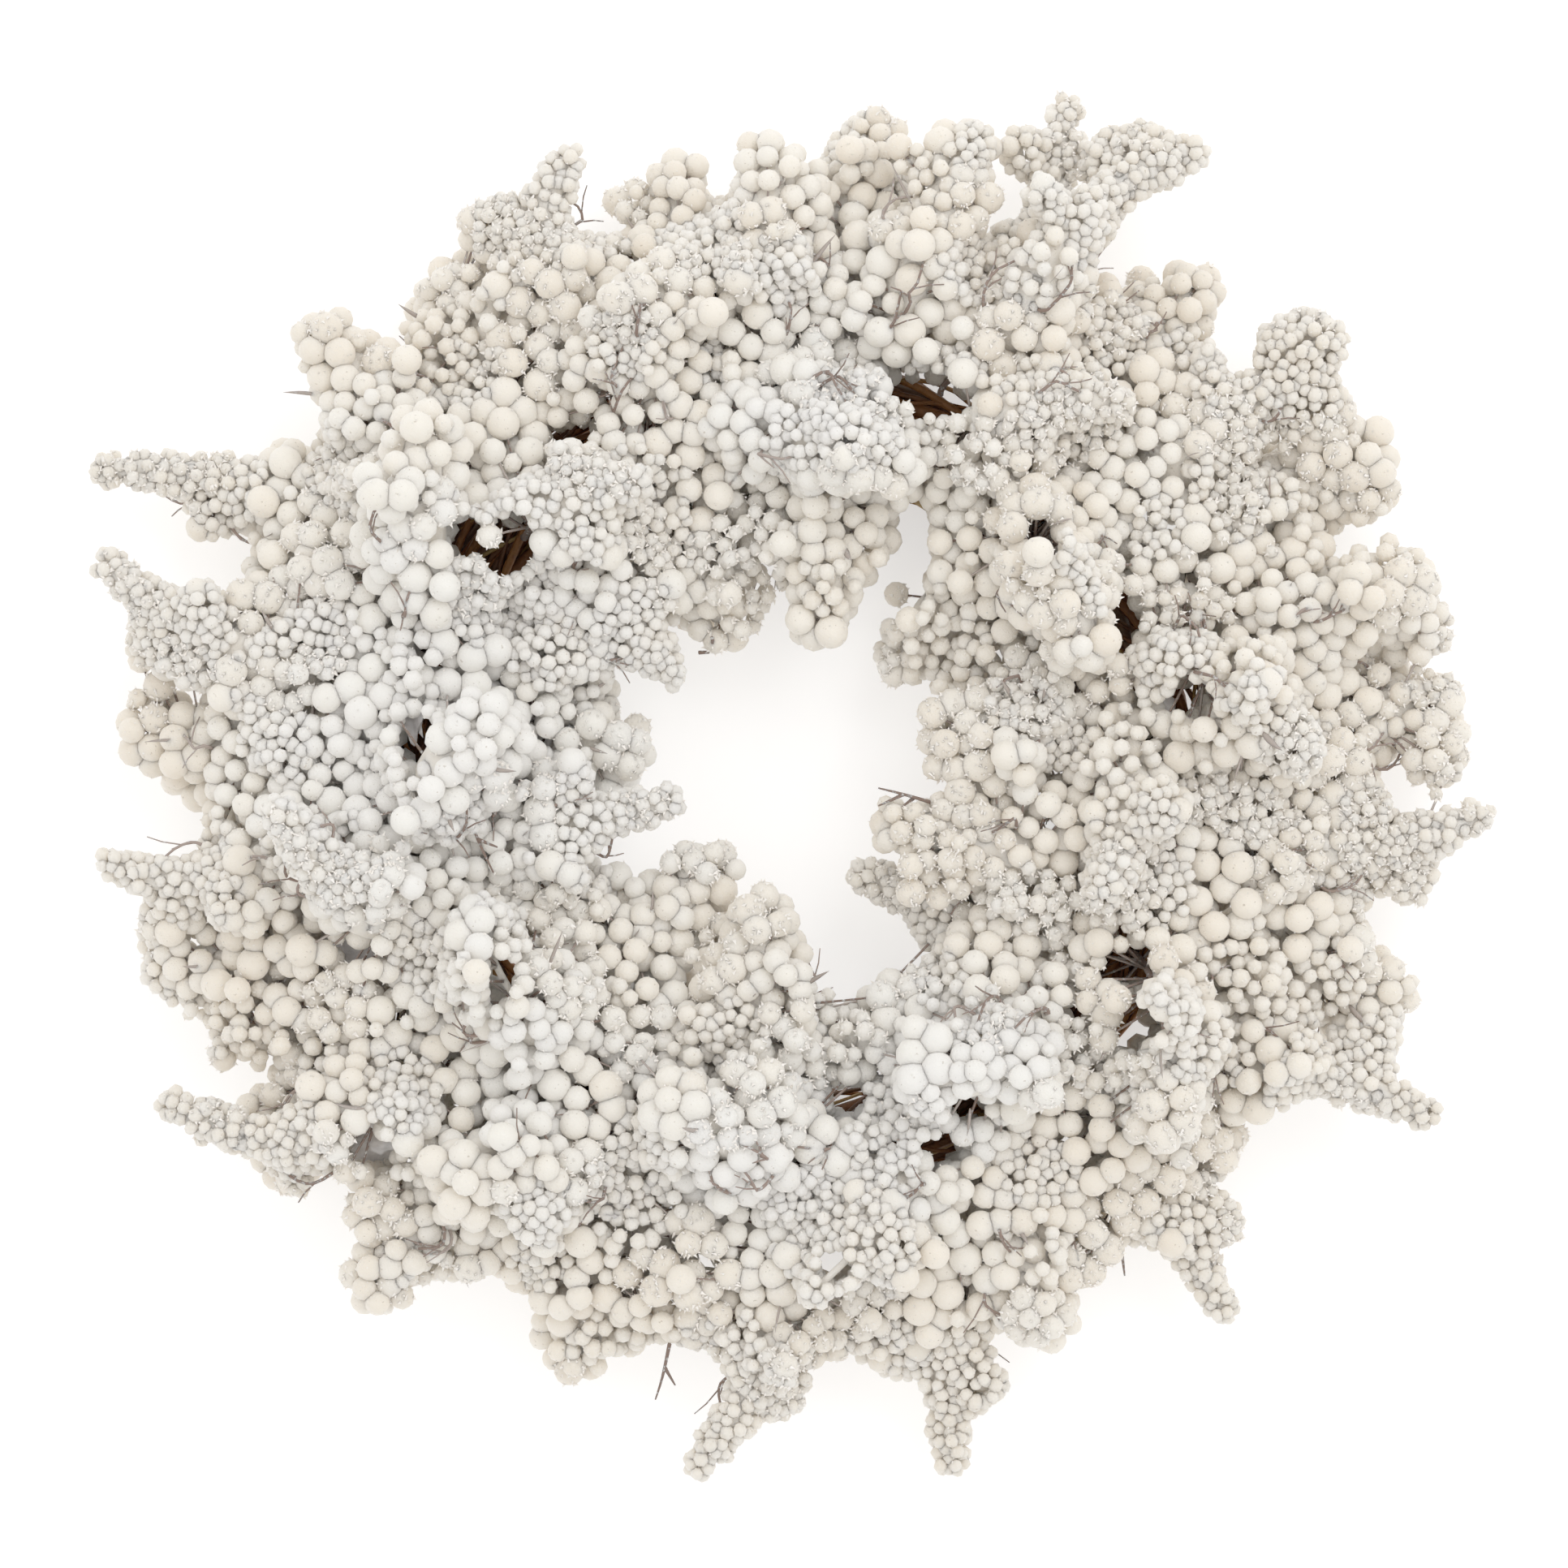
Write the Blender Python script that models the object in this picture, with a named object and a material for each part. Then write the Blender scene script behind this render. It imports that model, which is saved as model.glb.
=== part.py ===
"""A white berry wreath, lying on its back with its face up.

A ring of twisted vine carries sprays of berries. Each spray is one stem that thickens into a knobbly
core of small beads, with full-size berries on short stalks standing out of it. The origin is the middle
of the wreath on the surface it lies on, +Z points out of its face and +Y is its top. Lengths are in
metres, angles in degrees.
"""

import math
import random

import bmesh
import bpy
import numpy as np
from mathutils import Matrix, Vector
from mathutils.bvhtree import BVHTree

SEED = 7
GOLDEN_ANGLE = 137.5

# The vine ring, a bundle of strands that is pressed flat where it lies.
RING_RADIUS = 0.150
VINE_HALF_WIDTH = 0.024
VINE_HALF_HEIGHT = 0.0165
VINE_CENTRE_Z = 0.0121
VINE_STRANDS = 7
VINE_RIDGE = 0.11
VINE_TWIST_STEPS = 10
VINE_STATIONS = 48

# Sprays, each drawn through a few stations: a bare stem from its root on the vine, then its head.
STATIONS = 9
ROOT_GAP = 0.00035
CLEARANCE = 0.0008
FLOOR_CLEARANCE = 0.0022
CEILING = 0.106
STEM_RADIUS = 0.0021
STEM_START = 0.006
HEAD_START = 2
HEAD_SIDES = 8
HEAD_SHARE = 0.15
KNOB_RISE = 0.17
SETTLING_ROUNDS = 160
# The head's radius at each station up to the tip, for a bunch of berries and for a spike of beads.
BUNCH_RADII = (0.0090, 0.0165, 0.0190, 0.0195, 0.0185, 0.0155, 0.0095)
SPIKE_RADII = (0.0090, 0.0165, 0.0180, 0.0140, 0.0092, 0.0080, 0.0058)

# Berries.
BERRY_RADII = (0.0062, 0.0056, 0.0060, 0.0052)
BERRIES_PER_BUNCH = 4
BERRIES_PER_SPIKE = 3
BERRY_RISES = (0.0000, 0.0030, 0.0010, 0.0050)
STALK_RADIUS = 0.0011
BERRY_LEAN = 30.0
TIP_BERRY_RISE = 0.0085

# Each tip: heading round the wreath, distance from its middle, height, way it points, and kind of head.
OUTER_TIPS = (
    (7, 0.264, 0.026, 8, "bunch"),
    (18, 0.258, 0.048, 16, "bunch"),
    (29, 0.250, 0.026, 32, "bunch"),
    (39, 0.280, 0.048, 42, "spike"),
    (50, 0.258, 0.026, 52, "bunch"),
    (57, 0.300, 0.046, 12, "spike"),
    (67, 0.294, 0.026, 74, "spike"),
    (74, 0.262, 0.048, 78, "bunch"),
    (82, 0.262, 0.026, 88, "bunch"),
    (91, 0.246, 0.050, 92, "bunch"),
    (100, 0.246, 0.026, 100, "bunch"),
    (109, 0.262, 0.048, 48, "spike"),
    (124, 0.240, 0.026, 130, "bunch"),
    (136, 0.252, 0.048, 133, "bunch"),
    (155, 0.300, 0.026, 180, "spike"),
    (162, 0.282, 0.048, 128, "spike"),
    (175, 0.256, 0.026, 176, "bunch"),
    (187, 0.268, 0.048, 152, "spike"),
    (197, 0.256, 0.026, 196, "bunch"),
    (208, 0.274, 0.048, 146, "spike"),
    (217, 0.248, 0.026, 222, "bunch"),
    (231, 0.256, 0.048, 245, "bunch"),
    (250, 0.244, 0.026, 252, "bunch"),
    (263, 0.274, 0.046, 228, "spike"),
    (284, 0.282, 0.026, 268, "spike"),
    (296, 0.238, 0.046, 300, "bunch"),
    (310, 0.276, 0.026, 297, "spike"),
    (333, 0.288, 0.046, 336, "spike"),
    (341, 0.258, 0.026, 344, "bunch"),
    (357, 0.277, 0.048, 20, "spike"),
)
CROWN_TIPS = (
    (4, 0.200, 0.076, -48, "bunch"),
    (26, 0.130, 0.088, -76, "bunch"),
    (49, 0.198, 0.078, -8, "spike"),
    (71, 0.132, 0.086, -28, "bunch"),
    (94, 0.200, 0.074, 40, "bunch"),
    (116, 0.130, 0.088, 12, "spike"),
    (139, 0.198, 0.078, 86, "bunch"),
    (161, 0.132, 0.086, 60, "bunch"),
    (184, 0.200, 0.076, 128, "spike"),
    (206, 0.130, 0.088, 108, "bunch"),
    (229, 0.200, 0.074, 176, "bunch"),
    (251, 0.132, 0.086, 150, "bunch"),
    (274, 0.198, 0.078, 222, "spike"),
    (296, 0.130, 0.088, 192, "bunch"),
    (319, 0.200, 0.076, 262, "bunch"),
    (341, 0.132, 0.086, 240, "spike"),
)
INNER_TIPS = (
    (15, 0.070, 0.056, 190, "bunch"),
    (45, 0.072, 0.034, 228, "bunch"),
    (78, 0.068, 0.058, 262, "bunch"),
    (108, 0.070, 0.034, 290, "bunch"),
    (134, 0.062, 0.056, 318, "spike"),
    (168, 0.066, 0.034, 346, "bunch"),
    (189, 0.045, 0.058, 14, "spike"),
    (230, 0.046, 0.034, 50, "bunch"),
    (262, 0.054, 0.058, 88, "bunch"),
    (312, 0.050, 0.034, 160, "spike"),
    (340, 0.052, 0.058, 165, "bunch"),
)
# Layer name, its tips, where its roots sit round the vine's section, and how far its stems bow out.
LAYERS = (
    ("outer", OUTER_TIPS, (2.0, 34.0), 0.30),
    ("crown", CROWN_TIPS, (72.0, 108.0), 0.50),
    ("inner", INNER_TIPS, (142.0, 174.0), 0.40),
)
# Roots keep this many degrees apart, and each stands about level with a point this far back from its tip.
ROOT_SPACING = 6.5
KNEE = 0.055

# Colours.
VINE_COLOUR = (0.16, 0.075, 0.03, 1.0)
BERRY_COLOUR = (0.86, 0.84, 0.80, 1.0)


def turned(degrees, radius, height=0.0):
    """A point at that heading round the wreath."""
    angle = math.radians(degrees)
    return Vector((radius * math.cos(angle), radius * math.sin(angle), height))


def clear_scene():
    """Removes whatever the file starts with."""
    for thing in list(bpy.data.objects):
        bpy.data.objects.remove(thing)


def material(name, colour, roughness):
    """A plain finish of one colour."""
    made = bpy.data.materials.new(name)
    made.use_nodes = True
    shader = made.node_tree.nodes["Principled BSDF"]
    shader.inputs["Base Color"].default_value = colour
    shader.inputs["Roughness"].default_value = roughness
    return made


def add_object(name, points, faces, finish):
    """A named object from points and faces, with its normals facing out."""
    mesh = bpy.data.meshes.new(name)
    mesh.from_pydata([tuple(p) for p in points], [], faces)
    shape = bmesh.new()
    shape.from_mesh(mesh)
    bmesh.ops.recalc_face_normals(shape, faces=shape.faces)
    shape.to_mesh(mesh)
    shape.free()
    mesh.materials.append(finish)
    thing = bpy.data.objects.new(name, mesh)
    bpy.context.scene.collection.objects.link(thing)
    return thing


def section_way(heading, side):
    """The way out of the vine at a place round its section: side 0 is outwards, 90 is up, 180 is inwards."""
    across = turned(heading, math.cos(math.radians(side)))
    return Vector((across.x, across.y, math.sin(math.radians(side))))


def vine_points():
    """Rings of points round the vine. Ridge and groove alternate, and they twist along the ring."""
    around = 2 * VINE_STRANDS
    points = []
    for station in range(VINE_STATIONS):
        share = station / VINE_STATIONS
        twist = 360.0 * VINE_TWIST_STEPS / VINE_STRANDS * share
        for j in range(around):
            side = math.radians(360.0 * j / around + twist)
            swell = 1.0 + (VINE_RIDGE if j % 2 == 0 else -VINE_RIDGE)
            radius = RING_RADIUS + VINE_HALF_WIDTH * swell * math.cos(side)
            height = VINE_CENTRE_Z + VINE_HALF_HEIGHT * swell * math.sin(side)
            points.append(turned(360.0 * share, radius, max(0.0, height)))
    return points


def vine_faces():
    """Two triangles between each two neighbouring points. The last ring meets the first one turned on."""
    around = 2 * VINE_STRANDS
    closing_shift = around * VINE_TWIST_STEPS // VINE_STRANDS
    faces = []
    for station in range(VINE_STATIONS):
        last = station == VINE_STATIONS - 1
        shift = closing_shift if last else 0
        here = station * around
        beyond = 0 if last else here + around
        for j in range(around):
            k = (j + 1) % around
            a, b = here + j, here + k
            c, d = beyond + (k + shift) % around, beyond + (j + shift) % around
            faces += [(a, b, c), (a, c, d)]
    return faces


def bezier(a, b, c, d, t):
    """A point on the cubic curve with those four handles."""
    s = 1.0 - t
    return a * s**3 + b * (3 * s * s * t) + c * (3 * s * t * t) + d * t**3


def spaced(angles, gap):
    """Root headings pushed apart until neighbours are at least gap degrees from each other."""
    order = sorted(range(len(angles)), key=lambda i: angles[i])
    spread = list(angles)
    for _ in range(40):
        for place, i in enumerate(order):
            j = order[(place + 1) % len(order)]
            apart = (spread[j] - spread[i]) % 360.0
            if apart < gap:
                spread[i] -= (gap - apart) / 2
                spread[j] += (gap - apart) / 2
    return spread


def seat_on_vine(vine, heading, side):
    """The foot of a stem that stands on the vine, held clear of the ridges under its whole width."""
    way = section_way(heading, side)
    centre = turned(heading, RING_RADIUS, VINE_CENTRE_Z)
    start = centre + way * 0.06
    across = way.orthogonal().normalized()
    depths = []
    for turn in range(0, 360, 30):
        offset = Matrix.Rotation(math.radians(turn), 3, way) @ across
        for share in (0.0, 0.6, 1.1):
            hit = vine.ray_cast(start + offset * STEM_RADIUS * share, -way)
            depths.append(hit[3])
    return start - way * (min(depths) - ROOT_GAP), way


def spray_plans(vine):
    """Every spray's name, stations from root to tip, and what it ends in."""
    plans = []
    for layer, tips, sides, bow in LAYERS:
        knees = []
        for heading, reach, height, way, _ in tips:
            knee = turned(heading, reach, height) - turned(way, KNEE)
            knees.append(math.degrees(math.atan2(knee.y, knee.x)) % 360.0)
        roots = spaced(knees, ROOT_SPACING)
        for i, (heading, reach, height, way, end) in enumerate(tips):
            root, leaving = seat_on_vine(vine, roots[i], sides[i % 2])
            tip = turned(heading, reach, height)
            length = (tip - root).length
            first = root + leaving * max(0.012, bow * length)
            last = tip - turned(way, 0.42 * length)
            line = [root, root + leaving * STEM_START]
            for k in range(HEAD_START, STATIONS):
                share = (k - HEAD_START) / (STATIONS - 1 - HEAD_START)
                line.append(bezier(root, first, last, tip, HEAD_SHARE + (1 - HEAD_SHARE) * share))
            plans.append({"name": f"spray_{layer}_{i + 1:02d}", "line": line, "end": end})
    return plans


def core_radius(station, end):
    """The thickness at a station: a bare stem first, then the head."""
    if station < HEAD_START:
        return STEM_RADIUS
    return (BUNCH_RADII if end == "bunch" else SPIKE_RADII)[station - HEAD_START]


def widest(station, end):
    """The radius that holds the knobs at a station."""
    return core_radius(station, end) * (1 + (KNOB_RISE if station >= HEAD_START else 0.0))


def with_halfway(values):
    """The values at the stations, with one more halfway between each two."""
    fine = np.zeros((values.shape[0], 2 * STATIONS - 1, values.shape[2]))
    fine[:, ::2] = values
    fine[:, 1::2] = (values[:, 1:] + values[:, :-1]) / 2
    return fine


def push_between(line, radii):
    """How far each station is moved by the other sprays that it touches."""
    points = with_halfway(line).reshape(-1, 3)
    sizes = with_halfway(radii[:, :, None]).reshape(-1) + CLEARANCE
    owner = np.repeat(np.arange(len(line)), 2 * STATIONS - 1)
    apart = points[:, None, :] - points[None, :, :]
    distance = np.sqrt((apart**2).sum(2)) + 1e-9
    short = np.maximum(0.0, sizes[:, None] + sizes[None, :] - distance)
    short[owner[:, None] == owner[None, :]] = 0.0
    push = (apart / distance[:, :, None] * short[:, :, None]).sum(1) * 0.3
    push = push.reshape(len(line), 2 * STATIONS - 1, 3)
    at_stations = push[:, ::2].copy()
    at_stations[:, 1:] += push[:, 1::2] / 2
    at_stations[:, :-1] += push[:, 1::2] / 2
    return at_stations


def push_from_vine(line, radii):
    """How far stations that touch the vine are moved out of it."""
    out = np.hypot(line[:, :, 0], line[:, :, 1])
    across = out - RING_RADIUS
    up = line[:, :, 2] - VINE_CENTRE_Z
    wide = VINE_HALF_WIDTH * (1 + VINE_RIDGE) + radii + CLEARANCE
    tall = VINE_HALF_HEIGHT * (1 + VINE_RIDGE) + radii + CLEARANCE
    depth = np.sqrt((across / wide) ** 2 + (up / tall) ** 2) + 1e-9
    inside = np.maximum(0.0, 1.0 / depth - 1.0) * 0.5
    outwards = across * inside / out
    return np.stack([line[:, :, 0] * outwards, line[:, :, 1] * outwards, up * inside], axis=2)


def settle(plans):
    """Bends the heads clear of each other, of the vine and of the surface below. The roots stay in place."""
    start = np.array([[tuple(p) for p in plan["line"]] for plan in plans])
    radii = np.array([[widest(k, plan["end"]) for k in range(STATIONS)] for plan in plans])
    moved = np.zeros_like(start)
    freedom = np.array([0.0] * HEAD_START + [0.5] + [1.0] * (STATIONS - HEAD_START - 1))
    for _ in range(SETTLING_ROUNDS):
        line = start + moved
        push = push_between(line, radii) + push_from_vine(line, radii)
        moved += push * freedom[None, :, None]
        moved[:, 1:-1] = 0.6 * moved[:, 1:-1] + 0.2 * (moved[:, 2:] + moved[:, :-2])
        moved[:, :HEAD_START] = 0.0
        height = (start + moved)[:, HEAD_START:, 2]
        head = radii[:, HEAD_START:]
        moved[:, HEAD_START:, 2] += np.maximum(0.0, head + FLOOR_CLEARANCE - height)
        moved[:, HEAD_START:, 2] -= np.maximum(0.0, height + head - CEILING)
    for plan, line in zip(plans, start + moved):
        plan["line"] = [Vector(p) for p in line]


def frames_along(line):
    """For each station the way along the line, and two ways across it that don't spin."""
    frames = []
    across = None
    for k, point in enumerate(line):
        before = line[max(0, k - 1)]
        after = line[min(len(line) - 1, k + 1)]
        along = (after - before).normalized()
        if across is None:
            across = along.orthogonal().normalized()
        across = (across - along * across.dot(along)).normalized()
        frames.append((point, along, across, along.cross(across)))
    return frames


def core_mesh(plan):
    """The stem and its core: a tube whose every other point is raised into a knob, like beads on a head."""
    points, faces = [], []
    frames = frames_along(plan["line"])
    for k, (point, _, across, over) in enumerate(frames):
        radius = core_radius(k, plan["end"])
        for j in range(HEAD_SIDES):
            angle = 2 * math.pi * j / HEAD_SIDES
            rise = 0.0
            if k >= HEAD_START:
                rise = KNOB_RISE if (j + k) % 2 == 0 else -KNOB_RISE
            size = radius * (1 + rise)
            points.append(point + across * (size * math.cos(angle)) + over * (size * math.sin(angle)))
    for k in range(STATIONS - 1):
        for j in range(HEAD_SIDES):
            a = k * HEAD_SIDES + j
            b = k * HEAD_SIDES + (j + 1) % HEAD_SIDES
            c, d = b + HEAD_SIDES, a + HEAD_SIDES
            if (j + k) % 2 == 0:
                faces += [(a, b, d), (b, c, d)]
            else:
                faces += [(a, b, c), (a, c, d)]
    first = len(points)
    points.append(frames[0][0])
    points.append(frames[-1][0] + frames[-1][1] * core_radius(STATIONS - 1, plan["end"]))
    top = (STATIONS - 1) * HEAD_SIDES
    for j in range(HEAD_SIDES):
        k = (j + 1) % HEAD_SIDES
        faces.append((first, k, j))
        faces.append((first + 1, top + j, top + k))
    return points, faces


def blocking_spheres(plan):
    """Spheres that hold a spray's stem and core."""
    centres, radii = [], []
    line = plan["line"]
    for k in range(STATIONS - 1):
        radius = max(widest(k, plan["end"]), widest(k + 1, plan["end"]))
        for i in range(5):
            centres.append(line[k].lerp(line[k + 1], i / 5))
            radii.append(radius)
    centres.append(line[-1])
    radii.append(widest(STATIONS - 1, plan["end"]))
    return centres, radii


class Room:
    """What is already taken, as spheres that each belong to one spray."""

    def __init__(self, vine):
        self.vine = vine
        self.centres = np.zeros((0, 3))
        self.radii = np.zeros(0)
        self.owners = np.zeros(0, int)

    def take(self, centres, radii, owner):
        self.centres = np.vstack([self.centres, np.array([tuple(c) for c in centres])])
        self.radii = np.append(self.radii, radii)
        self.owners = np.append(self.owners, [owner] * len(radii))

    def is_free(self, centre, radius, owner):
        """Whether a sphere clears the surface below, the vine and every other spray."""
        if centre.z - radius < FLOOR_CLEARANCE:
            return False
        if self.vine.find_nearest(centre)[3] < radius + CLEARANCE:
            return False
        apart = np.sqrt(((self.centres - np.array(centre)) ** 2).sum(1))
        close = apart < self.radii + radius + CLEARANCE
        return not (close & (self.owners != owner)).any()


def keep_berry(plan, room, owner, foot, centre, radius):
    """Adds a berry where it clears its own spray's others and everything else."""
    for _, other, size in plan["berries"]:
        if (centre - other).length < size + radius + CLEARANCE / 2:
            return False
    if not room.is_free(centre, radius, owner):
        return False
    plan["berries"].append((foot, centre, radius))
    room.take([centre, foot.lerp(centre, 0.5)], [radius, 2 * STALK_RADIUS], owner)
    return True


def berry_place(plan, frames, spot, turn, rise, radius):
    """Where a berry's stalk starts inside the core, and the berry's middle, leaning towards the tip."""
    low = int(spot)
    foot = plan["line"][low].lerp(plan["line"][low + 1], spot - low)
    _, along, across, over = frames[low]
    sideways = across * math.cos(math.radians(turn)) + over * math.sin(math.radians(turn))
    lean = math.radians(BERRY_LEAN)
    way = (sideways * math.cos(lean) + along * math.sin(lean)).normalized()
    return foot, foot + way * (widest(low, plan["end"]) + radius + rise)


def grow_berries(plans, room):
    """Chooses each spray's berries: spread along its head and round it, where there is room."""
    rng = random.Random(SEED)
    for number, plan in enumerate(plans):
        plan["berries"] = []
        frames = frames_along(plan["line"])
        bunch = plan["end"] == "bunch"
        last = STATIONS - 1 if bunch else STATIONS - 4
        wanted = BERRIES_PER_BUNCH if bunch else BERRIES_PER_SPIKE
        if bunch:
            tip, along, _, _ = frames[-1]
            keep_berry(plan, room, number, tip, tip + along * TIP_BERRY_RISE, BERRY_RADII[0])
        for i in range(wanted - len(plan["berries"])):
            middle = HEAD_START + (last - HEAD_START) * (i + 0.8) / wanted
            radius = BERRY_RADII[(i + number) % len(BERRY_RADII)]
            for attempt in range(60):
                spot = min(STATIONS - 1.001, middle + rng.uniform(-0.6, 0.6))
                turn = GOLDEN_ANGLE * (i + number) + 23.0 * attempt
                rise = BERRY_RISES[(i + attempt) % len(BERRY_RISES)]
                foot, centre = berry_place(plan, frames, spot, turn, rise, radius)
                if keep_berry(plan, room, number, foot, centre, radius):
                    break


def berry_mesh(foot, centre, radius):
    """A berry with its stalk: an icosphere whose face nearest the stem is drawn in to the stem's middle."""
    shape = bmesh.new()
    bmesh.ops.create_icosphere(shape, subdivisions=1, radius=radius)
    way = (foot - centre).normalized()
    turn = Vector((0, 0, -1)).rotation_difference(way).to_matrix().to_4x4()
    shape.transform(Matrix.Translation(centre) @ turn)
    shape.faces.ensure_lookup_table()
    nearest = max(shape.faces, key=lambda f: (f.calc_center_median() - centre).dot(way))
    drawn = bmesh.ops.extrude_discrete_faces(shape, faces=[nearest])["faces"][0]
    middle = drawn.calc_center_median()
    size = max((v.co - middle).length for v in drawn.verts)
    for v in drawn.verts:
        v.co = foot + (v.co - middle) * (STALK_RADIUS / size)
    mesh = bpy.data.meshes.new("berry")
    shape.to_mesh(mesh)
    shape.free()
    return mesh


def join_berries(body, plan):
    """One Boolean union joins a spray's berries to its core."""
    group = bpy.data.collections.new(plan["name"] + "_berries")
    bpy.context.scene.collection.children.link(group)
    for place in plan["berries"]:
        berry = bpy.data.objects.new("berry", berry_mesh(*place))
        group.objects.link(berry)
    union = body.modifiers.new("union", "BOOLEAN")
    union.operation = "UNION"
    union.operand_type = "COLLECTION"
    union.collection = group
    union.solver = "MANIFOLD"
    bpy.context.view_layer.objects.active = body
    bpy.ops.object.modifier_apply(modifier=union.name)
    for berry in list(group.objects):
        bpy.data.objects.remove(berry)
    bpy.data.collections.remove(group)


def keep_main_body(body):
    """Keeps the largest piece alone, which drops scraps and fills hollows that the union sealed."""
    shape = bmesh.new()
    shape.from_mesh(body.data)
    left = set(shape.verts)
    pieces = []
    while left:
        piece, edge = set(), [left.pop()]
        while edge:
            vert = edge.pop()
            piece.add(vert)
            for link in vert.link_edges:
                other = link.other_vert(vert)
                if other in left:
                    left.remove(other)
                    edge.append(other)
        pieces.append(piece)
    pieces.sort(key=len)
    for piece in pieces[:-1]:
        bmesh.ops.delete(shape, geom=list(piece), context="VERTS")
    shape.to_mesh(body.data)
    shape.free()


def build():
    clear_scene()
    vine_finish = material("vine", VINE_COLOUR, 0.85)
    berry_finish = material("white_berries", BERRY_COLOUR, 0.55)
    points, faces = vine_points(), vine_faces()
    add_object("vine_ring", points, faces, vine_finish)
    vine = BVHTree.FromPolygons(points, faces)
    plans = spray_plans(vine)
    settle(plans)
    room = Room(vine)
    for number, plan in enumerate(plans):
        room.take(*blocking_spheres(plan), number)
    grow_berries(plans, room)
    for plan in plans:
        body = add_object(plan["name"], *core_mesh(plan), berry_finish)
        join_berries(body, plan)
        keep_main_body(body)
        body.data.shade_smooth()
        body.data.set_sharp_from_angle(angle=math.radians(50))


build()
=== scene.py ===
# %% [markdown]
# # A frosted white berry wreath
#
# The wreath lies on its back on a pale floor and the camera looks straight down on it, so its top edge is
# at +Y in the picture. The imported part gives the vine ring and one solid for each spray. This lesson plans
# the same sprays again from the same values, and dresses each one with berries, beads, stalks and stems.

import math
import random

import bpy
import numpy as np
from mathutils import Matrix, Vector, noise
from mathutils.bvhtree import BVHTree


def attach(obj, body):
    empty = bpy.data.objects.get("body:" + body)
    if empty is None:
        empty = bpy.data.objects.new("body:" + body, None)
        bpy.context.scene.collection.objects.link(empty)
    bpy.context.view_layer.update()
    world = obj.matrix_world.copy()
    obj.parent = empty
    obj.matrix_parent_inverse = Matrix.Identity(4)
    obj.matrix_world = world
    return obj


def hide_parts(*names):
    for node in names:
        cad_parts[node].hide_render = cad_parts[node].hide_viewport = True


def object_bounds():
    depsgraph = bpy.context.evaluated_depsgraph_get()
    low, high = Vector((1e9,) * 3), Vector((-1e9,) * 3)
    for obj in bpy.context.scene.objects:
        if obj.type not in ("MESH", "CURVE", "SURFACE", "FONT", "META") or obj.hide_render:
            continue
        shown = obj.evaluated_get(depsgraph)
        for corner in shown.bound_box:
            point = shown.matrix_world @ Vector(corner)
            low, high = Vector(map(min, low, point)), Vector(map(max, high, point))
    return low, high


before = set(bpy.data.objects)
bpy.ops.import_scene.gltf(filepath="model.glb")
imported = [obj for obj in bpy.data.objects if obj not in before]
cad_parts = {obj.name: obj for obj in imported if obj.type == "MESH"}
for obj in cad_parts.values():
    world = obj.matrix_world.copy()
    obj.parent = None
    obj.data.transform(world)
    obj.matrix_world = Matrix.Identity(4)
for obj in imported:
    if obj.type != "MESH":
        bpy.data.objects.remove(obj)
CAD_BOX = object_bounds()
print("frame loaded, box", CAD_BOX)

# %% [markdown]
# ## The plan of the wreath
#
# These are the part's own measures. Each tip gives a heading round the wreath, a distance from its middle, a
# height, the way it points, and whether its head is a bunch of berries or a spike of small beads.

# %% Measures of the vine, the sprays and their tips
SEED = 7
GOLDEN_ANGLE = 137.5
RING_RADIUS = 0.150
VINE_HALF_WIDTH = 0.024
VINE_HALF_HEIGHT = 0.0165
VINE_CENTRE_Z = 0.0121
VINE_STRANDS = 7
VINE_RIDGE = 0.11
VINE_TWIST_STEPS = 10
VINE_STATIONS = 48
STATIONS = 9
ROOT_GAP = 0.00035
CLEARANCE = 0.0008
FLOOR_CLEARANCE = 0.0022
CEILING = 0.106
STEM_RADIUS = 0.0021
STEM_START = 0.006
HEAD_START = 2
HEAD_SHARE = 0.15
KNOB_RISE = 0.17
SETTLING_ROUNDS = 160
BUNCH_RADII = (0.0090, 0.0165, 0.0190, 0.0195, 0.0185, 0.0155, 0.0095)
SPIKE_RADII = (0.0090, 0.0165, 0.0180, 0.0140, 0.0092, 0.0080, 0.0058)
BERRY_RADII = (0.0062, 0.0056, 0.0060, 0.0052)
BERRIES_PER_BUNCH = 4
BERRIES_PER_SPIKE = 3
BERRY_RISES = (0.0000, 0.0030, 0.0010, 0.0050)
STALK_RADIUS = 0.0011
BERRY_LEAN = 30.0
TIP_BERRY_RISE = 0.0085
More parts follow.
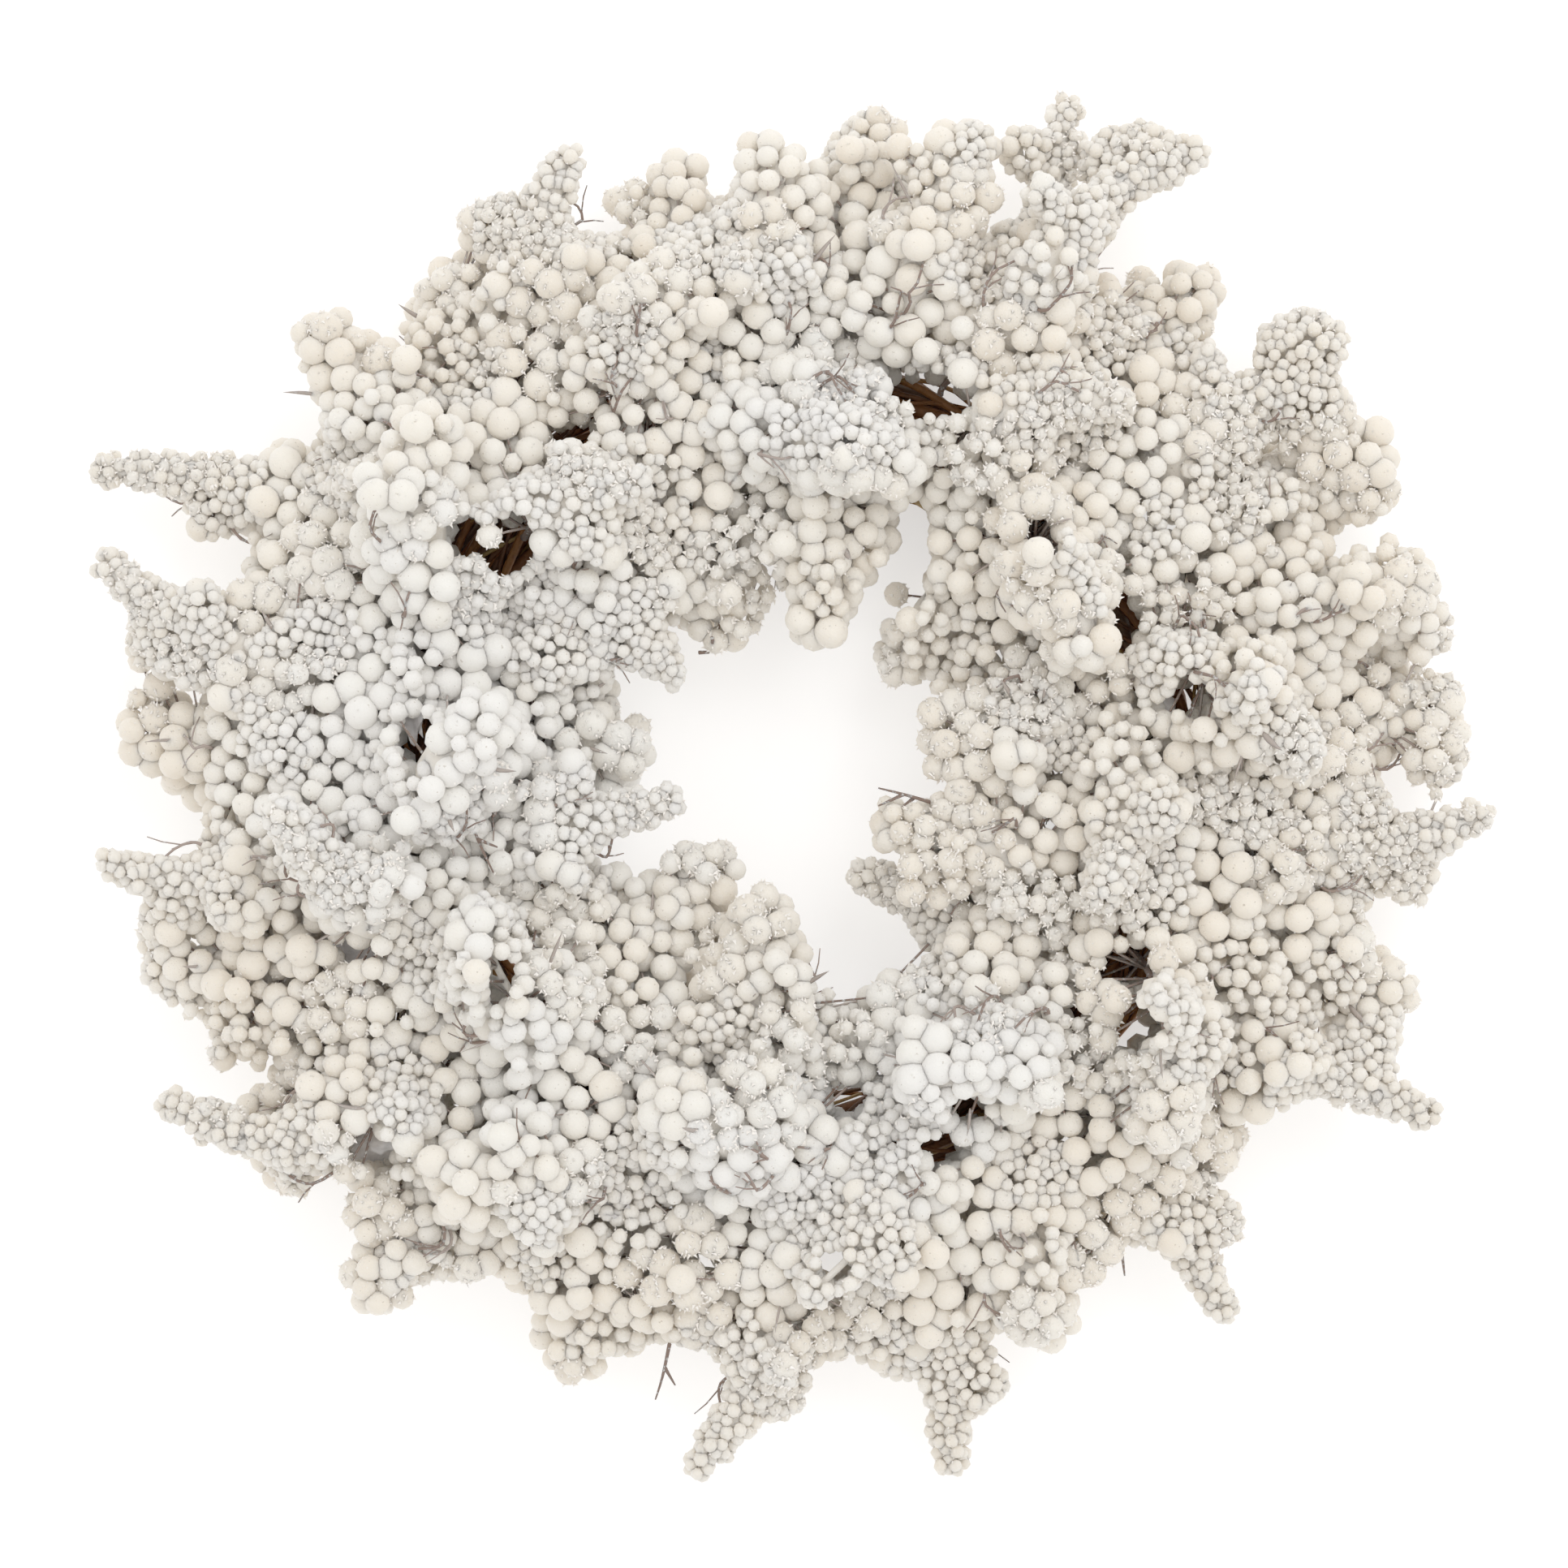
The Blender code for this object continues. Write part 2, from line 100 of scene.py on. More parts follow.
OUTER_TIPS = (
    (7, 0.264, 0.026, 8, "bunch"),
    (18, 0.258, 0.048, 16, "bunch"),
    (29, 0.250, 0.026, 32, "bunch"),
    (39, 0.280, 0.048, 42, "spike"),
    (50, 0.258, 0.026, 52, "bunch"),
    (57, 0.300, 0.046, 12, "spike"),
    (67, 0.294, 0.026, 74, "spike"),
    (74, 0.262, 0.048, 78, "bunch"),
    (82, 0.262, 0.026, 88, "bunch"),
    (91, 0.246, 0.050, 92, "bunch"),
    (100, 0.246, 0.026, 100, "bunch"),
    (109, 0.262, 0.048, 48, "spike"),
    (124, 0.240, 0.026, 130, "bunch"),
    (136, 0.252, 0.048, 133, "bunch"),
    (155, 0.300, 0.026, 180, "spike"),
    (162, 0.282, 0.048, 128, "spike"),
    (175, 0.256, 0.026, 176, "bunch"),
    (187, 0.268, 0.048, 152, "spike"),
    (197, 0.256, 0.026, 196, "bunch"),
    (208, 0.274, 0.048, 146, "spike"),
    (217, 0.248, 0.026, 222, "bunch"),
    (231, 0.256, 0.048, 245, "bunch"),
    (250, 0.244, 0.026, 252, "bunch"),
    (263, 0.274, 0.046, 228, "spike"),
    (284, 0.282, 0.026, 268, "spike"),
    (296, 0.238, 0.046, 300, "bunch"),
    (310, 0.276, 0.026, 297, "spike"),
    (333, 0.288, 0.046, 336, "spike"),
    (341, 0.258, 0.026, 344, "bunch"),
    (357, 0.277, 0.048, 20, "spike"),
)
CROWN_TIPS = (
    (4, 0.200, 0.076, -48, "bunch"),
    (26, 0.130, 0.088, -76, "bunch"),
    (49, 0.198, 0.078, -8, "spike"),
    (71, 0.132, 0.086, -28, "bunch"),
    (94, 0.200, 0.074, 40, "bunch"),
    (116, 0.130, 0.088, 12, "spike"),
    (139, 0.198, 0.078, 86, "bunch"),
    (161, 0.132, 0.086, 60, "bunch"),
    (184, 0.200, 0.076, 128, "spike"),
    (206, 0.130, 0.088, 108, "bunch"),
    (229, 0.200, 0.074, 176, "bunch"),
    (251, 0.132, 0.086, 150, "bunch"),
    (274, 0.198, 0.078, 222, "spike"),
    (296, 0.130, 0.088, 192, "bunch"),
    (319, 0.200, 0.076, 262, "bunch"),
    (341, 0.132, 0.086, 240, "spike"),
)
INNER_TIPS = (
    (15, 0.070, 0.056, 190, "bunch"),
    (45, 0.072, 0.034, 228, "bunch"),
    (78, 0.068, 0.058, 262, "bunch"),
    (108, 0.070, 0.034, 290, "bunch"),
    (134, 0.062, 0.056, 318, "spike"),
    (168, 0.066, 0.034, 346, "bunch"),
    (189, 0.045, 0.058, 14, "spike"),
    (230, 0.046, 0.034, 50, "bunch"),
    (262, 0.054, 0.058, 88, "bunch"),
    (312, 0.050, 0.034, 160, "spike"),
    (340, 0.052, 0.058, 165, "bunch"),
)
LAYERS = (
    ("outer", OUTER_TIPS, (2.0, 34.0), 0.30),
    ("crown", CROWN_TIPS, (72.0, 108.0), 0.50),
    ("inner", INNER_TIPS, (142.0, 174.0), 0.40),
)
ROOT_SPACING = 6.5
KNEE = 0.055
print("tips planned", sum(len(tips) for _, tips, _, _ in LAYERS))

# %% [markdown]
# ## Where the stems stand on the vine
#
# The ridged vine is rebuilt as plain points and triangles, only to find where each stem meets it.

# %% The ridged vine and the feet of the stems
def turned(degrees, radius, height=0.0):
    """A point at that heading round the wreath."""
    angle = math.radians(degrees)
    return Vector((radius * math.cos(angle), radius * math.sin(angle), height))


def section_way(heading, side):
    """The way out of the vine at a place round its section: side 0 is outwards, 90 is up, 180 is inwards."""
    across = turned(heading, math.cos(math.radians(side)))
    return Vector((across.x, across.y, math.sin(math.radians(side))))


def vine_points():
    """Rings of points round the vine. Ridge and groove alternate, and they twist along the ring."""
    around = 2 * VINE_STRANDS
    points = []
    for station in range(VINE_STATIONS):
        share = station / VINE_STATIONS
        twist = 360.0 * VINE_TWIST_STEPS / VINE_STRANDS * share
        for j in range(around):
            side = math.radians(360.0 * j / around + twist)
            swell = 1.0 + (VINE_RIDGE if j % 2 == 0 else -VINE_RIDGE)
            radius = RING_RADIUS + VINE_HALF_WIDTH * swell * math.cos(side)
            height = VINE_CENTRE_Z + VINE_HALF_HEIGHT * swell * math.sin(side)
            points.append(turned(360.0 * share, radius, max(0.0, height)))
    return points


def vine_faces():
    """Two triangles between each two neighbouring points. The last ring meets the first one turned on."""
    around = 2 * VINE_STRANDS
    closing_shift = around * VINE_TWIST_STEPS // VINE_STRANDS
    faces = []
    for station in range(VINE_STATIONS):
        last = station == VINE_STATIONS - 1
        shift = closing_shift if last else 0
        here = station * around
        beyond = 0 if last else here + around
        for j in range(around):
            k = (j + 1) % around
            a, b = here + j, here + k
            c, d = beyond + (k + shift) % around, beyond + (j + shift) % around
            faces += [(a, b, c), (a, c, d)]
    return faces


def seat_on_vine(vine, heading, side):
    """The foot of a stem that stands on the vine, held clear of the ridges under its whole width."""
    way = section_way(heading, side)
    centre = turned(heading, RING_RADIUS, VINE_CENTRE_Z)
    start = centre + way * 0.06
    across = way.orthogonal().normalized()
    depths = []
    for turn in range(0, 360, 30):
        offset = Matrix.Rotation(math.radians(turn), 3, way) @ across
        for share in (0.0, 0.6, 1.1):
            hit = vine.ray_cast(start + offset * STEM_RADIUS * share, -way)
            depths.append(hit[3])
    return start - way * (min(depths) - ROOT_GAP), way


VINE_TREE = BVHTree.FromPolygons(vine_points(), vine_faces())
print("vine ready")

# %% [markdown]
# ## The line of each spray
#
# Each spray is drawn from its foot to its tip on a smooth curve, and then all of them are bent clear of each
# other, of the vine and of the surface below.

# %% Draw the sprays and settle them
def bezier(a, b, c, d, t):
    """A point on the cubic curve with those four handles."""
    s = 1.0 - t
    return a * s**3 + b * (3 * s * s * t) + c * (3 * s * t * t) + d * t**3


def spaced(angles, gap):
    """Root headings pushed apart until neighbours are at least gap degrees from each other."""
    order = sorted(range(len(angles)), key=lambda i: angles[i])
    spread = list(angles)
    for _ in range(40):
        for place, i in enumerate(order):
            j = order[(place + 1) % len(order)]
            apart = (spread[j] - spread[i]) % 360.0
            if apart < gap:
                spread[i] -= (gap - apart) / 2
                spread[j] += (gap - apart) / 2
    return spread


def spray_plans(vine):
    """Every spray's name, stations from root to tip, and what it ends in."""
    plans = []
    for layer, tips, sides, bow in LAYERS:
        knees = []
        for heading, reach, height, way, _ in tips:
            knee = turned(heading, reach, height) - turned(way, KNEE)
            knees.append(math.degrees(math.atan2(knee.y, knee.x)) % 360.0)
        roots = spaced(knees, ROOT_SPACING)
        for i, (heading, reach, height, way, end) in enumerate(tips):
            root, leaving = seat_on_vine(vine, roots[i], sides[i % 2])
            tip = turned(heading, reach, height)
            length = (tip - root).length
            first = root + leaving * max(0.012, bow * length)
            last = tip - turned(way, 0.42 * length)
            line = [root, root + leaving * STEM_START]
            for k in range(HEAD_START, STATIONS):
                share = (k - HEAD_START) / (STATIONS - 1 - HEAD_START)
                line.append(bezier(root, first, last, tip, HEAD_SHARE + (1 - HEAD_SHARE) * share))
            plans.append({"name": f"spray_{layer}_{i + 1:02d}", "line": line, "end": end})
    return plans


def core_radius(station, end):
    """The thickness at a station: a bare stem first, then the head."""
    if station < HEAD_START:
        return STEM_RADIUS
    return (BUNCH_RADII if end == "bunch" else SPIKE_RADII)[station - HEAD_START]


def along_head(plan, spot):
    """The point and the thickness at a place between two stations."""
    low = min(STATIONS - 2, int(spot))
    share = spot - low
    thick = core_radius(low, plan["end"]) * (1 - share) + core_radius(low + 1, plan["end"]) * share
    return plan["line"][low].lerp(plan["line"][low + 1], share), thick


def widest(station, end):
    """The radius that holds the knobs at a station."""
    return core_radius(station, end) * (1 + (KNOB_RISE if station >= HEAD_START else 0.0))


def with_halfway(values):
    """The values at the stations, with one more halfway between each two."""
    fine = np.zeros((values.shape[0], 2 * STATIONS - 1, values.shape[2]))
    fine[:, ::2] = values
    fine[:, 1::2] = (values[:, 1:] + values[:, :-1]) / 2
    return fine


def push_between(line, radii):
    """How far each station is moved by the other sprays that it touches."""
    points = with_halfway(line).reshape(-1, 3)
    sizes = with_halfway(radii[:, :, None]).reshape(-1) + CLEARANCE
    owner = np.repeat(np.arange(len(line)), 2 * STATIONS - 1)
    apart = points[:, None, :] - points[None, :, :]
    distance = np.sqrt((apart**2).sum(2)) + 1e-9
    short = np.maximum(0.0, sizes[:, None] + sizes[None, :] - distance)
    short[owner[:, None] == owner[None, :]] = 0.0
    push = (apart / distance[:, :, None] * short[:, :, None]).sum(1) * 0.3
    push = push.reshape(len(line), 2 * STATIONS - 1, 3)
    at_stations = push[:, ::2].copy()
    at_stations[:, 1:] += push[:, 1::2] / 2
    at_stations[:, :-1] += push[:, 1::2] / 2
    return at_stations


def push_from_vine(line, radii):
    """How far stations that touch the vine are moved out of it."""
    out = np.hypot(line[:, :, 0], line[:, :, 1])
    across = out - RING_RADIUS
    up = line[:, :, 2] - VINE_CENTRE_Z
    wide = VINE_HALF_WIDTH * (1 + VINE_RIDGE) + radii + CLEARANCE
    tall = VINE_HALF_HEIGHT * (1 + VINE_RIDGE) + radii + CLEARANCE
    depth = np.sqrt((across / wide) ** 2 + (up / tall) ** 2) + 1e-9
    inside = np.maximum(0.0, 1.0 / depth - 1.0) * 0.5
    outwards = across * inside / out
    return np.stack([line[:, :, 0] * outwards, line[:, :, 1] * outwards, up * inside], axis=2)


def settle(plans):
    """Bends the heads clear of each other, of the vine and of the surface below. The roots stay in place."""
    start = np.array([[tuple(p) for p in plan["line"]] for plan in plans])
    radii = np.array([[widest(k, plan["end"]) for k in range(STATIONS)] for plan in plans])
    moved = np.zeros_like(start)
    freedom = np.array([0.0] * HEAD_START + [0.5] + [1.0] * (STATIONS - HEAD_START - 1))
    for _ in range(SETTLING_ROUNDS):
        line = start + moved
        push = push_between(line, radii) + push_from_vine(line, radii)
        moved += push * freedom[None, :, None]
        moved[:, 1:-1] = 0.6 * moved[:, 1:-1] + 0.2 * (moved[:, 2:] + moved[:, :-2])
        moved[:, :HEAD_START] = 0.0
        height = (start + moved)[:, HEAD_START:, 2]
        head = radii[:, HEAD_START:]
        moved[:, HEAD_START:, 2] += np.maximum(0.0, head + FLOOR_CLEARANCE - height)
        moved[:, HEAD_START:, 2] -= np.maximum(0.0, height + head - CEILING)
    for plan, line in zip(plans, start + moved):
        plan["line"] = [Vector(p) for p in line]


def frames_along(line):
    """For each station the way along the line, and two ways across it that don't spin."""
    frames = []
    across = None
    for k, point in enumerate(line):
        before = line[max(0, k - 1)]
        after = line[min(len(line) - 1, k + 1)]
        along = (after - before).normalized()
        if across is None:
            across = along.orthogonal().normalized()
        across = (across - along * across.dot(along)).normalized()
        frames.append((point, along, across, along.cross(across)))
    return frames


PLANS = spray_plans(VINE_TREE)
settle(PLANS)
print("sprays drawn", len(PLANS))

# %% [markdown]
# ## The leading berries
#
# The full-size berries that stand out of each solid come first, in exactly the same places, so that the
# dressed sprays keep the reach and outline of the part.

# %% Place the berries that the solids have
def blocking_spheres(plan):
    """Spheres that hold a spray's stem and core."""
    centres, radii = [], []
    line = plan["line"]
    for k in range(STATIONS - 1):
        radius = max(widest(k, plan["end"]), widest(k + 1, plan["end"]))
        for i in range(5):
            centres.append(line[k].lerp(line[k + 1], i / 5))
            radii.append(radius)
    centres.append(line[-1])
    radii.append(widest(STATIONS - 1, plan["end"]))
    return centres, radii


class Room:
    """What is already taken, as spheres that each belong to one spray."""

    def __init__(self, vine):
        self.vine = vine
        self.centres = np.zeros((0, 3))
        self.radii = np.zeros(0)
        self.owners = np.zeros(0, int)

    def take(self, centres, radii, owner):
        self.centres = np.vstack([self.centres, np.array([tuple(c) for c in centres])])
        self.radii = np.append(self.radii, radii)
        self.owners = np.append(self.owners, [owner] * len(radii))

    def is_free(self, centre, radius, owner):
        """Whether a sphere clears the surface below, the vine and every other spray."""
        if centre.z - radius < FLOOR_CLEARANCE:
            return False
        if self.vine.find_nearest(centre)[3] < radius + CLEARANCE:
            return False
        apart = np.sqrt(((self.centres - np.array(centre)) ** 2).sum(1))
        close = apart < self.radii + radius + CLEARANCE
        return not (close & (self.owners != owner)).any()


def keep_berry(plan, room, owner, foot, centre, radius):
    """Adds a berry where it clears its own spray's others and everything else."""
    for _, other, size in plan["berries"]:
        if (centre - other).length < size + radius + CLEARANCE / 2:
            return False
    if not room.is_free(centre, radius, owner):
        return False
    plan["berries"].append((foot, centre, radius))
    room.take([centre, foot.lerp(centre, 0.5)], [radius, 2 * STALK_RADIUS], owner)
    return True


def berry_place(plan, frames, spot, turn, rise, radius):
    """Where a berry's stalk starts inside the core, and the berry's middle, leaning towards the tip."""
    low = int(spot)
    foot = plan["line"][low].lerp(plan["line"][low + 1], spot - low)
    _, along, across, over = frames[low]
    sideways = across * math.cos(math.radians(turn)) + over * math.sin(math.radians(turn))
    lean = math.radians(BERRY_LEAN)
    way = (sideways * math.cos(lean) + along * math.sin(lean)).normalized()
    return foot, foot + way * (widest(low, plan["end"]) + radius + rise)


def grow_berries(plans, room):
    """Chooses each spray's berries: spread along its head and round it, where there is room."""
    rng = random.Random(SEED)
    for number, plan in enumerate(plans):
        plan["berries"] = []
        frames = frames_along(plan["line"])
        bunch = plan["end"] == "bunch"
        last = STATIONS - 1 if bunch else STATIONS - 4
        wanted = BERRIES_PER_BUNCH if bunch else BERRIES_PER_SPIKE
        if bunch:
            tip, along, _, _ = frames[-1]
            keep_berry(plan, room, number, tip, tip + along * TIP_BERRY_RISE, BERRY_RADII[0])
        for i in range(wanted - len(plan["berries"])):
            middle = HEAD_START + (last - HEAD_START) * (i + 0.8) / wanted
            radius = BERRY_RADII[(i + number) % len(BERRY_RADII)]
            for attempt in range(60):
                spot = min(STATIONS - 1.001, middle + rng.uniform(-0.6, 0.6))
                turn = GOLDEN_ANGLE * (i + number) + 23.0 * attempt
                rise = BERRY_RISES[(i + attempt) % len(BERRY_RISES)]
                foot, centre = berry_place(plan, frames, spot, turn, rise, radius)
                if keep_berry(plan, room, number, foot, centre, radius):
                    break


room = Room(VINE_TREE)
for number, plan in enumerate(PLANS):
    room.take(*blocking_spheres(plan), number)
grow_berries(PLANS, room)
print("leading berries", sum(len(plan["berries"]) for plan in PLANS))

# %% [markdown]
# ## The body that the heads make together
#
# Seen from above, the berries run on from head to head. A smooth field joins the heads: it is positive inside
# and zero on the skin. Soft rings fill the hollows over the vine and between the heads. Sprigs, each given as
# a middle and a radius in millimetres, fill gaps along the rim.

# %% Build the smooth field on a grid
STEP = 0.005
GRID_LOW = np.array([-0.30, -0.30, -0.01])
GRID_COUNT = (121, 121, 28)
BALLS_PER_HEAD = 11
SOFTNESS = 0.005
BODY_RINGS = ((0.148, 0.050, 0.022), (0.186, 0.040, 0.024), (0.212, 0.035, 0.018), (0.108, 0.044, 0.018))
BERRY_FOOTHILL = 0.0070
SPRIGS = (
    (-250, 57, 35, 12), (-236, 55, 38, 14), (-244, -55, 35, 12), (-221, -103, 32, 10), (-113, 221, 38, 13),
    (96, 253, 36, 8), (127, 249, 40, 6), (137, 254, 40, 6), (147, 256, 40, 5), (198, 174, 44, 8),
    (210, 180, 42, 5), (212, 150, 40, 14), (234, 117, 38, 12), (230, 131, 38, 12),
    (256, 62, 38, 12), (248, 76, 38, 12), (261, 12, 36, 12), (252, -38, 36, 10), (235, -105, 34, 11),
    (176, -176, 32, 9), (79, -240, 34, 10), (-2, -245, 34, 11),
)


def head_balls(plans):
    """Balls that follow every head from its start to its tip: their middles, radii and stations."""
    centres, radii, stations = [], [], []
    for plan in plans:
        for i in range(BALLS_PER_HEAD):
            spot = HEAD_START + (STATIONS - 1.001 - HEAD_START) * i / (BALLS_PER_HEAD - 1)
            point, thick = along_head(plan, spot)
            centres.append(tuple(point))
            radii.append(thick)
            stations.append(spot)
    return np.array(centres), np.array(radii), np.array(stations)


HEAD_CENTRES, HEAD_RADII, HEAD_STATIONS = head_balls(PLANS)
HEAD_IS_SPIKE = np.repeat([plan["end"] == "spike" for plan in PLANS], BALLS_PER_HEAD)
FOOTHILLS = np.array(
    [
        tuple(centre + (foot - centre).normalized() * share * radius)
        for plan in PLANS
        for foot, centre, radius in plan["berries"]
        for share in (0.8, 1.8)
    ]
)
SPRIG_CENTRES = np.array([sprig[:3] for sprig in SPRIGS]) / 1000
SPRIG_RADII = np.array([sprig[3] for sprig in SPRIGS]) / 1000


def distances(points, others):
    """The distance from every point to every other place."""
    squares = (points**2).sum(1)[:, None] + (others**2).sum(1)[None, :] - 2 * points @ others.T
    return np.sqrt(np.maximum(squares, 0))


def depth_in_heads(points):
    """For each point and each ball, how deep the point lies in the ball."""
    return HEAD_RADII[None, :] - distances(points, HEAD_CENTRES)


def body_field(points):
    """The smooth field at the points, all heads and rings softly joined, and the nearest ball of a head."""
    depth = depth_in_heads(points)
    per_head = depth.reshape(len(points), -1, BALLS_PER_HEAD).max(2)
    hills = (BERRY_FOOTHILL - distances(points, FOOTHILLS)).max(1)
    out = np.hypot(points[:, 0], points[:, 1])
    rings = [size - np.hypot(out - radius, points[:, 2] - height) for radius, height, size in BODY_RINGS]
    sprigs = SPRIG_RADII[None, :] - distances(points, SPRIG_CENTRES)
    joined = np.column_stack([per_head, hills, sprigs, *rings]) / SOFTNESS
    top = joined.max(1)
    return SOFTNESS * (top + np.log(np.exp(joined - top[:, None]).sum(1))), depth.argmax(1)


def field_grid():
    """The field and the nearest ball at every node of the grid, one slice at a time."""
    ys = GRID_LOW[1] + STEP * np.arange(GRID_COUNT[1])
    zs = GRID_LOW[2] + STEP * np.arange(GRID_COUNT[2])
    slices, nearest = [], []
    for i in range(GRID_COUNT[0]):
        x = GRID_LOW[0] + STEP * i
        points = np.array([(x, y, z) for y in ys for z in zs])
        values, balls = body_field(points)
        slices.append(values.reshape(len(ys), len(zs)))
        nearest.append(balls.reshape(len(ys), len(zs)))
    return np.array(slices), np.array(nearest)


FIELD, NEAREST = field_grid()
SLOPES = np.gradient(FIELD, STEP)


def look_up(grid, points):
    """The grid's values at points between its nodes."""
    place = (points - GRID_LOW) / STEP
    cell = np.clip(np.floor(place).astype(int), 0, np.array(grid.shape) - 2)
    share = np.clip(place - cell, 0.0, 1.0)
    total = np.zeros(len(points))
    for corner in ((0, 0, 0), (0, 0, 1), (0, 1, 0), (0, 1, 1), (1, 0, 0), (1, 0, 1), (1, 1, 0), (1, 1, 1)):
        weight = np.where(np.array(corner) == 1, share, 1 - share).prod(1)
        total += weight * grid[tuple((cell + corner).T)]
    return total


def ball_near(points):
    """The head ball nearest to each point, read from the grid."""
    cell = np.clip(np.rint((points - GRID_LOW) / STEP).astype(int), 0, np.array(GRID_COUNT) - 1)
    return NEAREST[tuple(cell.T)]


print("field ready, deepest", round(float(FIELD.max()), 4))

# %% [markdown]
# ## Places on the skin
#
# Points are drawn evenly near the skin and slid along the field's slope to the wanted depth. A cell pattern
# moves the depth in and out, so that the berries gather in clusters instead of lying on a smooth dome. Some
# places stay open: chinks where the dark vine shows, and a notch at the edge of the hole.

# %% Draw places on the skin
CLUSTER_SIZE = 0.031
CLUSTER_RISE = 0.0095
SEAM_LEVEL = 0.45
FULL_HEAD = 0.018
TIP_SWELL = 0.0012
SWELL_START = 6.5
SKIN_REACH = 0.006
CHINKS = (
    (58.0, 153.5, 19, 8, -10),
    (-107, 93.0, 9, 12, -20),
    (-124, 97.0, 7, 8, 0),
    (-82, 137.5, 7, 6, 0),
    (-143, 17.0, 7, 10, 0),
    (102, 93.5, 5, 7, 0),
    (135, 63.0, 6, 10, 0),
    (160, 33.0, 6, 6, 0),
    (137, -72.5, 9, 7, 0),
    (138, -95.5, 7, 10, -30),
    (26.5, -126.0, 7, 6, 0),
    (73, -127.5, 6, 5, 0),
    (62, -146.5, 9, 5, 30),
    (-109, -76.0, 5, 9, 0),
    (21, -189.5, 6, 6, 0),
    (-168, -65.0, 8, 6, 0),
    (-163, -145.0, 9, 5, 10),
)
NOTCH = ((50.0, 88.0, 9, 24, -5),)


def in_chink(x, y, margin, chinks=CHINKS):
    """Whether places seen from above lie in one of the open chinks, given as ellipses in millimetres."""
    inside = np.zeros(np.shape(x), bool)
    for across, up, wide, tall, turn in chinks:
        dx, dy = 1000 * x - across, 1000 * y - up
        c, s = math.cos(math.radians(turn)), math.sin(math.radians(turn))
        a, b = (c * dx + s * dy) / (wide + margin), (c * dy - s * dx) / (tall + margin)
        inside |= a * a + b * b < 1.0
    return inside


def clusters(points):
    """How high each point lies in its cluster, from 0 at the seams to 1, and the cluster's number."""
    heights, numbers = [], []
    for point in points:
        away, middles = noise.voronoi(Vector(point) / CLUSTER_SIZE)
        heights.append(min(1.0, 1.5 * (away[1] - away[0])))
        x, y, z = middles[0]
        numbers.append(math.sin(12.99 * x + 78.23 * y + 37.72 * z) * 4375.85 % 1.0)
    return np.array(heights), np.array(numbers)


def skin_places(rng, count, depth, spread):
    """Points near the skin, at a depth under it that varies with the lumps and by a random spread."""
    near = np.argwhere(np.abs(FIELD - depth) < SKIN_REACH)
    chosen = near[rng.integers(0, len(near), count)]
    points = GRID_LOW + STEP * (chosen + rng.uniform(-0.5, 0.5, (count, 3)))
    balls = ball_near(points)
    relief = CLUSTER_RISE * np.minimum(1.0, HEAD_RADII[balls] / FULL_HEAD) ** 2
    swell = TIP_SWELL * np.clip(HEAD_STATIONS[balls] - SWELL_START, 0.0, 1.0) * HEAD_IS_SPIKE[balls]
    heights, _ = clusters(points)
    wanted = depth + relief * (SEAM_LEVEL - heights) - swell + rng.uniform(-spread, spread, count)
    for _ in range(3):
        slope = np.column_stack([look_up(part, points) for part in SLOPES])
        steep = np.maximum((slope**2).sum(1), 0.1)
        points = points + slope * ((wanted - look_up(FIELD, points)) / steep)[:, None]
    return points


def spray_at(points):
    """The spray that each point belongs to, and the head ball of it that is nearest."""
    depth = depth_in_heads(points)
    ball = depth.argmax(1)
    return ball // BALLS_PER_HEAD, ball


print("chinks", len(CHINKS), "and notch", len(NOTCH))

# %% [markdown]
# ## Fill the skin
#
# Each place is tried in turn and kept where its ball fits beside the others. The foam berries may press into
# each other a little. Large berries come first, then the middle sizes, and the beads last.

# %% Pack berries and beads
PRESS = 0.69
BEAD_PRESS = 0.61
CELL = 0.014
TOP_LIMIT = 0.1180
CHINK_FLOOR = 0.016
HOLE_BOX = ((-0.0370, -0.0222), (0.0330, 0.0512))
BEAD_START = 4.9
PATCH_FLOOR = 0.030
PATCHES = (
    (-111, 75, 22), (-92, 52, 16), (28, 143, 22), (6, 132, 14), (44, -134, 18), (41, -151, 13),
    (141, -40, 20), (-137, -69, 16), (180, 118, 18), (150, 100, 13), (78, 205, 16), (-60, 172, 15),
    (-182, 58, 15), (-150, -122, 16), (-58, -152, 18), (-18, -97, 13), (102, -152, 15), (172, -108, 14),
    (202, 18, 16), (96, 32, 15), (-76, -32, 14), (-192, -22, 14), (-122, 162, 14), (0, 202, 14),
    (132, 178, 15), (22, -182, 14), (-96, -190, 12), (62, -77, 12), (-44, 96, 12), (-178, 130, 13),
)
CLUSTER_KINDS = {"large": (0.0, 0.38), "middle": (0.38, 0.76), "small": (0.76, 0.92), "bead": (0.92, 1.0)}
SIZES = {
    "large": (0.0067, 0.0063, 0.0060, 0.0055),
    "middle": (0.0054, 0.0050, 0.0046),
    "small": (0.0042, 0.0036, 0.0032),
    "bead": (0.0033, 0.0030, 0.0027),
}


class Heap:
    """Every ball placed so far, kept in cells so that neighbours are found fast."""

    def __init__(self):
        self.cells = {}

    def add(self, x, y, z, radius):
        cell = (int(x // CELL), int(y // CELL), int(z // CELL))
        self.cells.setdefault(cell, []).append((x, y, z, radius))

    def has_room(self, x, y, z, radius, press):
        i, j, k = int(x // CELL), int(y // CELL), int(z // CELL)
        for a in (i - 1, i, i + 1):
            for b in (j - 1, j, j + 1):
                for c in (k - 1, k, k + 1):
                    for ox, oy, oz, size in self.cells.get((a, b, c), ()):
                        need = press * (radius + size)
                        if (x - ox) ** 2 + (y - oy) ** 2 + (z - oz) ** 2 < need * need:
                            return False
        return True


